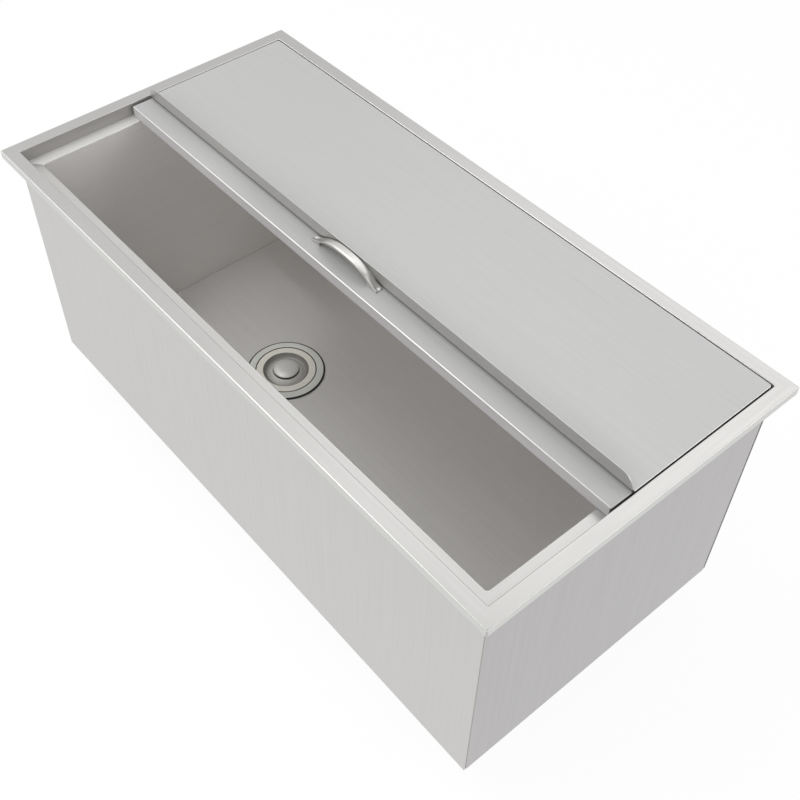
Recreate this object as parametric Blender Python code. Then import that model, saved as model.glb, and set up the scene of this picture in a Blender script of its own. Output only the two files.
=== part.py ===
# Outdoor kitchen ice chest: an insulated drop-in tub with a sliding lid and a lift-off rear cover.
# Metres, +Z up. The front is -Y. The origin is the middle of the rim at the worktop's surface,
# where the rim's down-turned lip rests, so the tub hangs below zero and the flange stands above it.

import math

import bmesh
import bpy
from mathutils import Matrix, Vector

for thing in list(bpy.data.objects):
    bpy.data.objects.remove(thing, do_unlink=True)

# Overall size
CHEST_LENGTH = 0.914
CHEST_WIDTH = 0.455
TUB_DEPTH = 0.3445
FLOOR_THICKNESS = 0.0095

# Sheet steel, folds and the clearances that pieces keep
TUB_SHEET = 0.0010
JACKET_SHEET = 0.0008
SEAM = 0.0003
FOLD_RADIUS = 0.0010
OVERRUN = 0.002
MERGE = 0.00001

# Rim: flange with a down-turned lip, recess wall, ledge and the edge that drops into the tub
FLANGE_WIDTH = 0.0185
LIP_HEIGHT = 0.011
LIP_SLIT = 0.0020
RECESS_DEPTH = 0.0186
LEDGE_WIDTH = 0.019
EDGE_DROP = 0.009
RIM_CORNER = 0.001
RECESS_CORNER = 0.002
TUB_CORNER = 0.004
TUB_FILLET = 0.005

# Jacket: four panels whose ends lap on folded tabs, and a bottom tray
TAB_WIDTH = 0.012
TRAY_EDGE = 0.010
JACKET_BEND = 0.0012

# Sliding lid: skin, foam, inner pan and four glides
LID_SHOWING = 0.0300
LID_DROP = 0.003
LID_END_GAP = 0.0031
LID_BACK_GAP = 0.001
LID_LIP_CLEARANCE = 0.0004
LID_CORNER = 0.0015
LID_SLIT = 0.0009
LID_PAN_RECESS = 0.0028
LID_PAN_EDGE = 0.006
GLIDE_WIDTH = 0.010
GLIDE_LENGTH = 0.040
GLIDE_SETBACK = 0.012
GLIDE_ROUNDING = 0.001

# Rear cover: flush plate on three folded lips, with an upstand along its front edge
COVER_DEPTH = 0.2187
COVER_GAP = 0.0015
COVER_END_GAP = 0.0016
COVER_CORNER = 0.0035
UPSTAND_HEIGHT = 0.017
UPSTAND_CORNER = 0.0172
UPSTAND_INSET = 0.0025

# Bow handle and its two screws
HANDLE_X = -0.0025
HANDLE_LENGTH = 0.1206
HANDLE_WIDTH = 0.0108
HANDLE_HEIGHT = 0.0195
HANDLE_STOP_GAP = 0.0012
HANDLE_HOLE_SPACING = 0.096
HANDLE_PANEL = 0.0004
SCREW_RADIUS = 0.002
SCREW_CLEARANCE = 0.0003
SCREW_ENGAGEMENT = 0.0032
SCREW_HEAD_RADIUS = 0.0038
SCREW_HEAD_HEIGHT = 0.0022
SCREW_SLOT = 0.0009
SCREW_CROWN_SHARE = 0.6
SCREW_SLOT_DEPTH_SHARE = 0.55

# Drain: a basket strainer clamped through the floor
DRAIN_OFFSET = 0.1753
DRAIN_FLANGE_RADIUS = 0.0564
DRAIN_FLANGE_EDGE = 0.0007
DRAIN_FLANGE_CROWN = 0.0016
DRAIN_FLANGE_SLOPE = 0.004
DRAIN_SEAL_OVERHANG = 0.0026
DRAIN_SEAL_WIDTH = 0.0109
DRAIN_SEAL_THICKNESS = 0.0009
SEAT_RADIUS = 0.0452
SEAT_DEPTH = 0.0013
CUP_RADIUS = 0.0430
CUP_WALL = 0.0015
CUP_DEPTH = 0.046
CUP_FILLET = 0.006
CUP_CHAMFER_SHARE = 0.3
CUP_CLEARANCE = 0.0019
OUTLET_RADIUS = 0.0238
OUTLET_WALL = 0.0035
OUTLET_LENGTH = 0.018
SPIDER_BAR = 0.003
SPIDER_HUB_RADIUS = 0.006
GASKET_WIDTH = 0.011
GASKET_THICKNESS = 0.0025
WASHER_WIDTH = 0.010
WASHER_THICKNESS = 0.001
LOCKNUT_WIDTH = 0.009
LOCKNUT_HEIGHT = 0.009
LOCKNUT_BEVEL = 0.0014
LOCKNUT_COLLAR = 0.0022
LOCKNUT_NOTCH = 0.007
LOCKNUT_NOTCH_DEPTH = 0.003

# Stopper: pressed plate, perforated basket, knob, stem and rubber disc
PLATE_SHEET = 0.001
PLATE_GAP = 0.0008
PLATE_RIM_WIDTH = 0.0095
BOWL_DEPTH = 0.006
BASKET_RADIUS = 0.037
BASKET_TAPER = 0.004
BASKET_DEPTH = 0.034
BASKET_SHEET = 0.0008
BASKET_FILLET = 0.0024
BASKET_WALL_SLOT_SHARES = (0.2, 0.8)
BASKET_FLOOR_SLOT_SHARES = (0.36, 0.82)
BASKET_SLOT = 0.0034
STEM_RADIUS = 0.003
KNOB_RADIUS = 0.0186
KNOB_HEIGHT = 0.0076
KNOB_NECK = 0.0055
DISC_RADIUS = 0.026
DISC_THICKNESS = 0.004
DISC_LIP = 0.0014
DISC_HUB_RADIUS = 0.006

# Counts
CORNER_STEPS = 4
FOLD_STEPS = 3
UPSTAND_STEPS = 12
WIDE_TURN = 44
NARROW_TURN = 32
STEM_TURN = 16
BASKET_SLOTS = 16
LOCKNUT_NOTCHES = 8
SPIDER_BARS = 2

# Heights, from the worktop's surface up
FLANGE_TOP = LIP_HEIGHT
LEDGE_Z = FLANGE_TOP - RECESS_DEPTH
FLOOR_Z = FLANGE_TOP - TUB_DEPTH
BASE_Z = FLOOR_Z - FLOOR_THICKNESS
LID_TOP = FLANGE_TOP - LID_DROP
LID_LIP_Z = LEDGE_Z + LID_LIP_CLEARANCE
LID_PAN_Z = LID_LIP_Z + LID_PAN_RECESS

# Places in plan, measured in from the flange's outer edge or out from the middle
HALF_LENGTH = CHEST_LENGTH / 2
HALF_WIDTH = CHEST_WIDTH / 2
TUB_INSET = FLANGE_WIDTH + LEDGE_WIDTH
JACKET_INSET = FLANGE_WIDTH - TUB_SHEET - SEAM - JACKET_SHEET
RECESS_HALF_LENGTH = HALF_LENGTH - FLANGE_WIDTH
RECESS_HALF_WIDTH = HALF_WIDTH - FLANGE_WIDTH
JACKET_HALF_LENGTH = HALF_LENGTH - JACKET_INSET
JACKET_HALF_WIDTH = HALF_WIDTH - JACKET_INSET
COVER_HALF_LENGTH = RECESS_HALF_LENGTH - COVER_END_GAP
COVER_BACK = RECESS_HALF_WIDTH - COVER_GAP
COVER_FRONT = COVER_BACK - COVER_DEPTH
LID_HALF_LENGTH = RECESS_HALF_LENGTH - LID_END_GAP
LID_BACK = COVER_BACK - TUB_SHEET - LID_BACK_GAP
LID_FRONT = COVER_FRONT - LID_SHOWING
LID_DEPTH = LID_BACK - LID_FRONT
LID_MIDDLE = (LID_FRONT + LID_BACK) / 2
HANDLE_Y = COVER_FRONT - HANDLE_STOP_GAP - HANDLE_WIDTH / 2

# Drain levels, from the tub's floor up
DRAIN_HOLE_RADIUS = CUP_RADIUS + CUP_CLEARANCE
DRAIN_FLANGE_UNDER = SEAM + DRAIN_SEAL_THICKNESS + SEAM
DRAIN_CROWN_Z = DRAIN_FLANGE_UNDER + DRAIN_FLANGE_CROWN
SEAT_Z = DRAIN_CROWN_Z - SEAT_DEPTH
OUTLET_END_Z = -CUP_DEPTH - CUP_WALL - OUTLET_LENGTH
JACKET_UNDER_Z = -FLOOR_THICKNESS
PLATE_RADIUS = SEAT_RADIUS - PLATE_GAP
PLATE_UNDER_Z = SEAT_Z + SEAM
PLATE_TOP_Z = PLATE_UNDER_Z + PLATE_SHEET
DISC_Z = -CUP_DEPTH + SEAM


def finish(name, color, roughness, metallic):
    """A plain Principled material."""
    material = bpy.data.materials.new(name)
    material.use_nodes = True
    shader = material.node_tree.nodes["Principled BSDF"]
    shader.inputs["Base Color"].default_value = (*color, 1.0)
    shader.inputs["Roughness"].default_value = roughness
    shader.inputs["Metallic"].default_value = metallic
    material.diffuse_color = (*color, 1.0)
    return material


STEEL = finish("brushed_steel", (0.66, 0.65, 0.63), 0.34, 1.0)
TUB_STEEL = finish("tub_steel", (0.55, 0.54, 0.52), 0.38, 1.0)
NICKEL = finish("satin_nickel", (0.68, 0.66, 0.62), 0.26, 1.0)
FOAM = finish("insulation_foam", (0.86, 0.80, 0.62), 0.92, 0.0)
RUBBER = finish("black_rubber", (0.03, 0.03, 0.03), 0.72, 0.0)
FIBRE = finish("fibre_washer", (0.38, 0.24, 0.14), 0.85, 0.0)
NYLON = finish("glide_nylon", (0.86, 0.86, 0.84), 0.45, 0.0)


def add_object(name, bm, material, smooth_angle=35):
    """Put a bmesh in the scene as an object with its faces pointing out."""
    bmesh.ops.recalc_face_normals(bm, faces=bm.faces)
    mesh = bpy.data.meshes.new(name)
    bm.to_mesh(mesh)
    bm.free()
    mesh.shade_smooth()
    mesh.set_sharp_from_angle(angle=math.radians(smooth_angle))
    mesh.materials.append(material)
    thing = bpy.data.objects.new(name, mesh)
    bpy.context.scene.collection.objects.link(thing)
    return thing


def boolean(thing, cutter, operation="DIFFERENCE"):
    """Cut or join with a guide object that isn't part of the chest."""
    cutter.hide_render = True
    cutter.display_type = "WIRE"
    modifier = thing.modifiers.new(cutter.name, "BOOLEAN")
    modifier.operation = operation
    modifier.solver = "EXACT"
    modifier.object = cutter


def loft(rings, closed):
    """Bridge a row of equal rings; an open row is capped at both ends, a closed one joins up."""
    bm = bmesh.new()
    rows = [[bm.verts.new(point) for point in ring] for ring in rings]
    pairs = list(zip(rows, rows[1:]))
    if closed:
        pairs.append((rows[-1], rows[0]))
    else:
        bm.faces.new(rows[0])
        bm.faces.new(rows[-1])
    for lower, upper in pairs:
        for index, vert in enumerate(lower):
            following = (index + 1) % len(lower)
            bm.faces.new((vert, lower[following], upper[following], upper[index]))
    return bm


def rounded_ring(half_x, half_y, radius, z, middle=(0, 0)):
    """Points of a rectangle with rounded corners, anticlockwise from above."""
    points = []
    for corner, (side_x, side_y) in enumerate(((1, 1), (-1, 1), (-1, -1), (1, -1))):
        centre_x = middle[0] + side_x * (half_x - radius)
        centre_y = middle[1] + side_y * (half_y - radius)
        for step in range(CORNER_STEPS + 1):
            angle = math.pi / 2 * (corner + step / CORNER_STEPS)
            points.append(Vector((centre_x + radius * math.cos(angle),
                                  centre_y + radius * math.sin(angle), z)))
    return points


def folded_sides(path, sheet, bend):
    """Both faces of a sheet folded along a path of 2-D points on its middle line."""
    points = [Vector(point) for point in path]
    middle = []
    for index, point in enumerate(points):
        if index in (0, len(points) - 1):
            other = points[1] if index == 0 else points[-2]
            along = (other - point if index == 0 else point - other).normalized()
            middle.append((point, Vector((-along.y, along.x))))
            continue
        arrive = (point - points[index - 1]).normalized()
        leave = (points[index + 1] - point).normalized()
        turn = arrive.angle_signed(leave)
        reach = bend * math.tan(abs(turn) / 2)
        start = point - arrive * reach
        side = Vector((-arrive.y, arrive.x)) * (-1 if turn > 0 else 1)
        centre = start + side * bend
        for step in range(FOLD_STEPS + 1):
            swing = Matrix.Rotation(-turn * step / FOLD_STEPS, 2)
            spoke = swing @ (start - centre)
            along = swing @ arrive
            middle.append((centre + spoke, Vector((-along.y, along.x))))
    left = [point + normal * sheet / 2 for point, normal in middle]
    right = [point - normal * sheet / 2 for point, normal in middle]
    return left, right


def turned(profile, steps, solid=False):
    """Spin a profile of (radius, height) points about Z; a solid one starts and ends on the axis."""
    bm = bmesh.new()
    verts = [bm.verts.new((radius, 0, height)) for radius, height in profile]
    links = list(zip(verts, verts[1:]))
    if not solid:
        links.append((verts[-1], verts[0]))
    edges = [bm.edges.new(link) for link in links]
    bmesh.ops.spin(bm, geom=verts + edges, cent=(0, 0, 0), axis=(0, 0, 1),
                   angle=2 * math.pi, steps=steps, use_merge=True)
    bmesh.ops.remove_doubles(bm, verts=bm.verts, dist=MERGE)
    return bm


def box(low, high):
    """A closed box between two corners."""
    bm = bmesh.new()
    bmesh.ops.create_cube(bm, size=1.0)
    for vert in bm.verts:
        for axis in range(3):
            vert.co[axis] = high[axis] if vert.co[axis] > 0 else low[axis]
    return bm


def joined(pieces):
    """One bmesh that holds several."""
    whole = bmesh.new()
    for piece in pieces:
        mesh = bpy.data.meshes.new("joint_mesh")
        piece.to_mesh(mesh)
        piece.free()
        whole.from_mesh(mesh)
        bpy.data.meshes.remove(mesh)
    return whole


def moved(bm, offset=(0, 0, 0), turn=0):
    """Turn a bmesh about Z and move it."""
    bm.transform(Matrix.Translation(offset) @ Matrix.Rotation(turn, 4, "Z"))
    return bm


def extruded(outline, axis_x, axis_y, along, distance):
    """Extrude a closed outline of 2-D points, drawn on two directions, along a third."""
    near = [axis_x * point[0] + axis_y * point[1] for point in outline]
    return loft([near, [point + along * distance for point in near]], closed=False)


def corner_slits(half_x, half_y, radius, low, top, width, middle=(0, 0)):
    """Cutters that part a folded lip at its four corners, up to the fold under the plate."""
    reach = radius + TUB_SHEET
    slits = []
    for side_x in (1, -1):
        for side_y in (1, -1):
            slit = box((-reach, -width / 2, low - OVERRUN), (reach, width / 2, top - FOLD_RADIUS - TUB_SHEET))
            place = (middle[0] + side_x * (half_x - radius / 2), middle[1] + side_y * (half_y - radius / 2), 0)
            slits.append(moved(slit, place, math.atan2(side_y, side_x)))
    return joined(slits)


def empty_at(name, place):
    """A parent for the pieces that move together, on their joint's axis."""
    pivot = bpy.data.objects.new(name, None)
    pivot.location = place
    bpy.context.scene.collection.objects.link(pivot)
    return pivot


def carried_by(pivot, things):
    """Parent pieces to a pivot and leave them where they are."""
    for thing in things:
        thing.parent = pivot
        thing.matrix_parent_inverse = Matrix.Translation(pivot.location).inverted()


# Rim and tub

def rim_corner_radius(inset):
    """The rim's corner radius in plan: it grows across the flange, then across the ledge."""
    if inset < FLANGE_WIDTH:
        return RIM_CORNER + (RECESS_CORNER - RIM_CORNER) * inset / FLANGE_WIDTH
    return RECESS_CORNER + (TUB_CORNER - RECESS_CORNER) * (inset - FLANGE_WIDTH) / LEDGE_WIDTH


def build_rim():
    """Flange, lip, recess wall, ledge and tub edge, folded from one sheet and mitred at the corners."""
    half = TUB_SHEET / 2
    wall = FLANGE_WIDTH - half
    path = [(half, 0), (half, FLANGE_TOP - half), (wall, FLANGE_TOP - half),
            (wall, LEDGE_Z - half), (TUB_INSET - half, LEDGE_Z - half),
            (TUB_INSET - half, LEDGE_Z - EDGE_DROP)]
    left, right = folded_sides(path, TUB_SHEET, FOLD_RADIUS)
    rings = [rounded_ring(HALF_LENGTH - inset, HALF_WIDTH - inset, rim_corner_radius(inset), z)
             for inset, z in left + right[::-1]]
    rim = add_object("rim_frame", loft(rings, closed=True), STEEL)
    slits = corner_slits(HALF_LENGTH, HALF_WIDTH, RIM_CORNER, 0, FLANGE_TOP, LIP_SLIT)
    boolean(rim, add_object("rim_corner_slits", slits, STEEL))
    return rim


def build_tub():
    """The inner liner, butt-jointed to the rim's tub edge, with a hole for the drain."""
    half = TUB_SHEET / 2
    top = LEDGE_Z - EDGE_DROP - SEAM
    wall = TUB_INSET - half
    path = [(wall, top), (wall, FLOOR_Z - half), (wall + TUB_CORNER + TUB_FILLET, FLOOR_Z - half)]
    left, right = folded_sides(path, TUB_SHEET, TUB_FILLET)
    rings = [rounded_ring(HALF_LENGTH - inset, HALF_WIDTH - inset, TUB_CORNER, z)
             for inset, z in right[::-1] + left]
    tub = add_object("tub_liner", loft(rings, closed=False), TUB_STEEL)
    hole = turned([(0, FLOOR_Z - TUB_SHEET - OVERRUN), (DRAIN_HOLE_RADIUS, FLOOR_Z - TUB_SHEET - OVERRUN),
                   (DRAIN_HOLE_RADIUS, FLOOR_Z + OVERRUN), (0, FLOOR_Z + OVERRUN)], WIDE_TURN, solid=True)
    boolean(tub, add_object("tub_drain_hole", moved(hole, (-DRAIN_OFFSET, 0, 0)), STEEL))
    return tub


# Outer jacket

def folded_panel(name, half_span, face, turn, bottom_notch):
    """A wall panel, drawn facing -Y, with an optional folded tab at each end."""
    half = JACKET_SHEET / 2
    top = FLANGE_TOP - TUB_SHEET - 2 * SEAM
    if bottom_notch:
        path = [(-half_span + half, -face + TAB_WIDTH), (-half_span + half, -face + half),
                (half_span - half, -face + half), (half_span - half, -face + TAB_WIDTH)]
    else:
        path = [(-half_span, -face + half), (half_span, -face + half)]
    left, right = folded_sides(path, JACKET_SHEET, JACKET_BEND)
    bm = extruded(left + right[::-1], Vector((1, 0, 0)), Vector((0, 1, 0)), Vector((0, 0, 1)), top - BASE_Z)
    panel = add_object(name, moved(bm, (0, 0, BASE_Z), turn), STEEL)
    if bottom_notch:
        cuts = []
        inner = half_span + OVERRUN
        behind = -face + JACKET_SHEET + SEAM / 2
        low_top = BASE_Z + TRAY_EDGE + SEAM
        high_bottom = LEDGE_Z - TUB_SHEET - SEAM
        for low_z, high_z in ((BASE_Z - OVERRUN, low_top), (high_bottom, top + OVERRUN)):
            cuts.append(box((-inner, behind, low_z), (inner, -face + TAB_WIDTH + OVERRUN, high_z)))
        boolean(panel, add_object(name + "_notches", moved(joined(cuts), (0, 0, 0), turn), STEEL))
    return panel


def build_jacket():
    """Long front and back panels, end panels with folded tabs behind them, and a bottom tray."""
    long_face = JACKET_HALF_WIDTH
    end_span = JACKET_HALF_WIDTH - JACKET_SHEET - SEAM
    folded_panel("jacket_front", JACKET_HALF_LENGTH, long_face, 0, False)
    folded_panel("jacket_back", JACKET_HALF_LENGTH, long_face, math.pi, False)
    folded_panel("jacket_left", end_span, JACKET_HALF_LENGTH, -math.pi / 2, True)
    folded_panel("jacket_right", end_span, JACKET_HALF_LENGTH, math.pi / 2, True)

    half = JACKET_SHEET / 2
    inset = JACKET_INSET + JACKET_SHEET + SEAM + half
    path = [(inset, BASE_Z + TRAY_EDGE), (inset, BASE_Z + half),
            (inset + TUB_CORNER + JACKET_BEND, BASE_Z + half)]
    left, right = folded_sides(path, JACKET_SHEET, JACKET_BEND)
    rings = [rounded_ring(HALF_LENGTH - place, HALF_WIDTH - place, RIM_CORNER, z)
             for place, z in right[::-1] + left]
    tray = add_object("jacket_bottom", loft(rings, closed=False), STEEL)
    hole = turned([(0, BASE_Z - OVERRUN), (DRAIN_HOLE_RADIUS, BASE_Z - OVERRUN),
                   (DRAIN_HOLE_RADIUS, BASE_Z + JACKET_SHEET + OVERRUN),
                   (0, BASE_Z + JACKET_SHEET + OVERRUN)], WIDE_TURN, solid=True)
    boolean(tray, add_object("jacket_drain_hole", moved(hole, (-DRAIN_OFFSET, 0, 0)), STEEL))


# Insulation

def build_foam():
    """Five boards that fill the space between the tub and the jacket."""
    panel_face = JACKET_INSET + JACKET_SHEET + SEAM
    tab_face = panel_face + JACKET_SHEET + SEAM
    tub_face = TUB_INSET - TUB_SHEET - SEAM
    top = LEDGE_Z - TUB_SHEET - 2 * SEAM
    bottom = BASE_Z + TRAY_EDGE + SEAM
    board_end = HALF_LENGTH - tub_face - SEAM
    for name, side in (("foam_front", -1), ("foam_back", 1)):
        near, far = sorted((side * (HALF_WIDTH - tub_face), side * (HALF_WIDTH - panel_face)))
        add_object(name, box((-board_end, near, bottom), (board_end, far, top)), FOAM)
    for name, side in (("foam_left", -1), ("foam_right", 1)):
        near, far = sorted((side * (HALF_LENGTH - tub_face), side * (HALF_LENGTH - panel_face)))
        reach = HALF_WIDTH - tab_face
        add_object(name, box((near, -reach, bottom), (far, reach, top)), FOAM)
    tray_inner = panel_face + JACKET_SHEET + SEAM
    low = (-(HALF_LENGTH - tray_inner), -(HALF_WIDTH - tray_inner), BASE_Z + JACKET_SHEET + SEAM)
    high = (HALF_LENGTH - tray_inner, HALF_WIDTH - tray_inner, FLOOR_Z - TUB_SHEET - SEAM)
    slab = box(low, high)
    corners = [edge for edge in slab.edges if abs(edge.verts[0].co.z - edge.verts[1].co.z) > MERGE]
    bmesh.ops.bevel(slab, geom=corners, offset=RIM_CORNER + JACKET_SHEET, segments=2, affect="EDGES",
                    profile=0.5)
    board = add_object("foam_bottom", slab, FOAM)
    hole = turned([(0, low[2] - OVERRUN), (DRAIN_HOLE_RADIUS, low[2] - OVERRUN),
                   (DRAIN_HOLE_RADIUS, high[2] + OVERRUN), (0, high[2] + OVERRUN)],
                  NARROW_TURN, solid=True)
    boolean(board, add_object("foam_drain_hole", moved(hole, (-DRAIN_OFFSET, 0, 0)), FOAM))


# Sliding lid

def pan_rings(path, sheet, bend, corner, half_x, half_y, middle):
    """Rings of a folded pan: path holds (inset, height) points that end on the plate."""
    left, right = folded_sides(path, sheet, bend)
    return [rounded_ring(half_x - inset, half_y - inset, corner, z, middle)
            for inset, z in right[::-1] + left]


def screw_hole(name, side, radius, low, high):
    """A cutter for one of the handle's screws."""
    hole = turned([(0, low), (radius, low), (radius, high), (0, high)], STEM_TURN, solid=True)
    return add_object(name, moved(hole, (HANDLE_X + side * HANDLE_HOLE_SPACING / 2, HANDLE_Y, 0)), STEEL)


def build_lid():
    """Skin with down-turned lips, foam core, inner pan and four glides."""
    half = TUB_SHEET / 2
    lid_half_y = LID_DEPTH / 2
    middle = (0, LID_MIDDLE)
    plate_inset = LID_CORNER + FOLD_RADIUS + TUB_SHEET
    path = [(half, LID_LIP_Z), (half, LID_TOP - half), (plate_inset, LID_TOP - half)]
    rings = pan_rings(path, TUB_SHEET, FOLD_RADIUS, LID_CORNER, LID_HALF_LENGTH, lid_half_y, middle)
    skin = add_object("lid_skin", loft(rings, closed=False), STEEL)
    slits = corner_slits(LID_HALF_LENGTH, lid_half_y, LID_CORNER, LID_LIP_Z, LID_TOP, LID_SLIT, middle)
    boolean(skin, add_object("lid_corner_slits", slits, STEEL))

    pan_out = TUB_SHEET + SEAM
    pan_half = JACKET_SHEET / 2
    path = [(pan_out + pan_half, LID_PAN_Z + LID_PAN_EDGE), (pan_out + pan_half, LID_PAN_Z + pan_half),
            (pan_out + plate_inset, LID_PAN_Z + pan_half)]
    rings = pan_rings(path, JACKET_SHEET, JACKET_BEND, LID_CORNER, LID_HALF_LENGTH, lid_half_y, middle)
    pan = add_object("lid_inner_pan", loft(rings, closed=False), STEEL)

    foam_inset = pan_out + JACKET_SHEET + SEAM + FOLD_RADIUS
    foam_x = LID_HALF_LENGTH - foam_inset
    foam_y = lid_half_y - foam_inset
    foam_low = LID_PAN_Z + JACKET_SHEET + SEAM
    foam_high = LID_TOP - TUB_SHEET - SEAM
    foam = add_object("lid_foam", box((-foam_x, LID_MIDDLE - foam_y, foam_low),
                                      (foam_x, LID_MIDDLE + foam_y, foam_high)), FOAM)

    pieces = [skin, pan, foam]
    glide_low = LEDGE_Z + SEAM
    glide_high = LID_PAN_Z - SEAM
    glide_x = LID_HALF_LENGTH - pan_out - FOLD_RADIUS - GLIDE_WIDTH / 2
    glide_y = lid_half_y - GLIDE_SETBACK - GLIDE_LENGTH / 2
    for name, side_x, side_y in (("lid_glide_front_left", -1, -1), ("lid_glide_front_right", 1, -1),
                                 ("lid_glide_back_left", -1, 1), ("lid_glide_back_right", 1, 1)):
        centre = (side_x * glide_x, LID_MIDDLE + side_y * glide_y)
        slim_x = GLIDE_WIDTH / 2 - GLIDE_ROUNDING
        slim_y = GLIDE_LENGTH / 2 - GLIDE_ROUNDING
        rings = [rounded_ring(slim_x, slim_y, GLIDE_ROUNDING, glide_low, centre),
                 rounded_ring(GLIDE_WIDTH / 2, GLIDE_LENGTH / 2, 2 * GLIDE_ROUNDING,
                              glide_low + GLIDE_ROUNDING, centre),
                 rounded_ring(GLIDE_WIDTH / 2, GLIDE_LENGTH / 2, 2 * GLIDE_ROUNDING, glide_high, centre)]
        pieces.append(add_object(name, loft(rings, closed=False), NYLON))

    for side in (-1, 1):
        word = "left" if side < 0 else "right"
        hole = SCREW_RADIUS + SCREW_CLEARANCE
        top = LID_TOP + SEAM + SCREW_ENGAGEMENT + SCREW_CLEARANCE
        cutter = screw_hole("handle_screw_hole_" + word, side, hole, LID_PAN_Z - OVERRUN, top)
        for thing in (skin, pan, foam):
            boolean(thing, cutter)
    return pieces


# Bow handle

# Heights as shares of the handle's height, against the share of the half length
HANDLE_TOP_SHARES = ((0, 1.0), (0.15, 0.99), (0.3, 0.95), (0.45, 0.835), (0.58, 0.685), (0.68, 0.52),
                     (0.76, 0.38), (0.84, 0.265), (0.92, 0.17), (1.0, 0.10))
HANDLE_UNDER_SHARES = ((0, 0.80), (0.2, 0.775), (0.37, 0.70), (0.5, 0.60), (0.6, 0.50), (0.68, 0.39),
                       (0.733, 0.28))
HANDLE_WIDTH_SHARES = ((0, 1.0), (0.3, 0.99), (0.6, 0.97), (0.8, 0.95), (1.0, 0.93))
HANDLE_STATION_SHARES = (0, 0.08, 0.16, 0.24, 0.32, 0.40, 0.48, 0.55, 0.61, 0.64, 0.66, 0.70, 0.733,
                         0.737, 0.78, 0.84, 0.90, 0.95, 1.0)
HANDLE_FOOT_SHARE = 0.735

# Across the strap: the share of its half width, the share of the edge's drop, and whether the panel is raised
HANDLE_SECTION = ((-1, 1, 0), (-0.88, 0, 0), (-0.64, 0, 0), (-0.58, 0, 1), (-0.3, 0, 1), (0, 0, 1),
                  (0.3, 0, 1), (0.58, 0, 1), (0.64, 0, 0), (0.88, 0, 0), (1, 1, 0))
HANDLE_EDGE_DROP_SHARE = 0.22
HANDLE_PANEL_END_SHARE = 0.64
HANDLE_PANEL_FADE_SHARE = 0.02
HANDLE_FLUTE_START_SHARE = 0.675
HANDLE_FLUTE_WIDTH_SHARE = 0.9
HANDLE_FLUTE_STEEPNESS = 0.5
HANDLE_FLUTE_DEPTH_SHARE = 0.6


def share_at(table, place):
    """Smooth value of a share table at a place, by cubic steps between its rows."""
    for index, (start, end) in enumerate(zip(table, table[1:])):
        if place <= end[0]:
            break
    span = end[0] - start[0]
    blend = (place - start[0]) / span
    slope = (end[1] - start[1]) / span
    before = table[index - 1] if index > 0 else None
    after = table[index + 2] if index + 2 < len(table) else None
    slope_in = slope if before is None else (end[1] - before[1]) / (end[0] - before[0])
    slope_out = slope if after is None else (after[1] - start[1]) / (after[0] - start[0])
    if place < table[1][0]:
        slope_in = 0
    square = blend * blend
    cube = square * blend
    value = ((2 * cube - 3 * square + 1) * start[1] + (cube - 2 * square + blend) * span * slope_in
             + (3 * square - 2 * cube) * end[1] + (cube - square) * span * slope_out)
    return max(value, min(start[1], end[1]))


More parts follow.
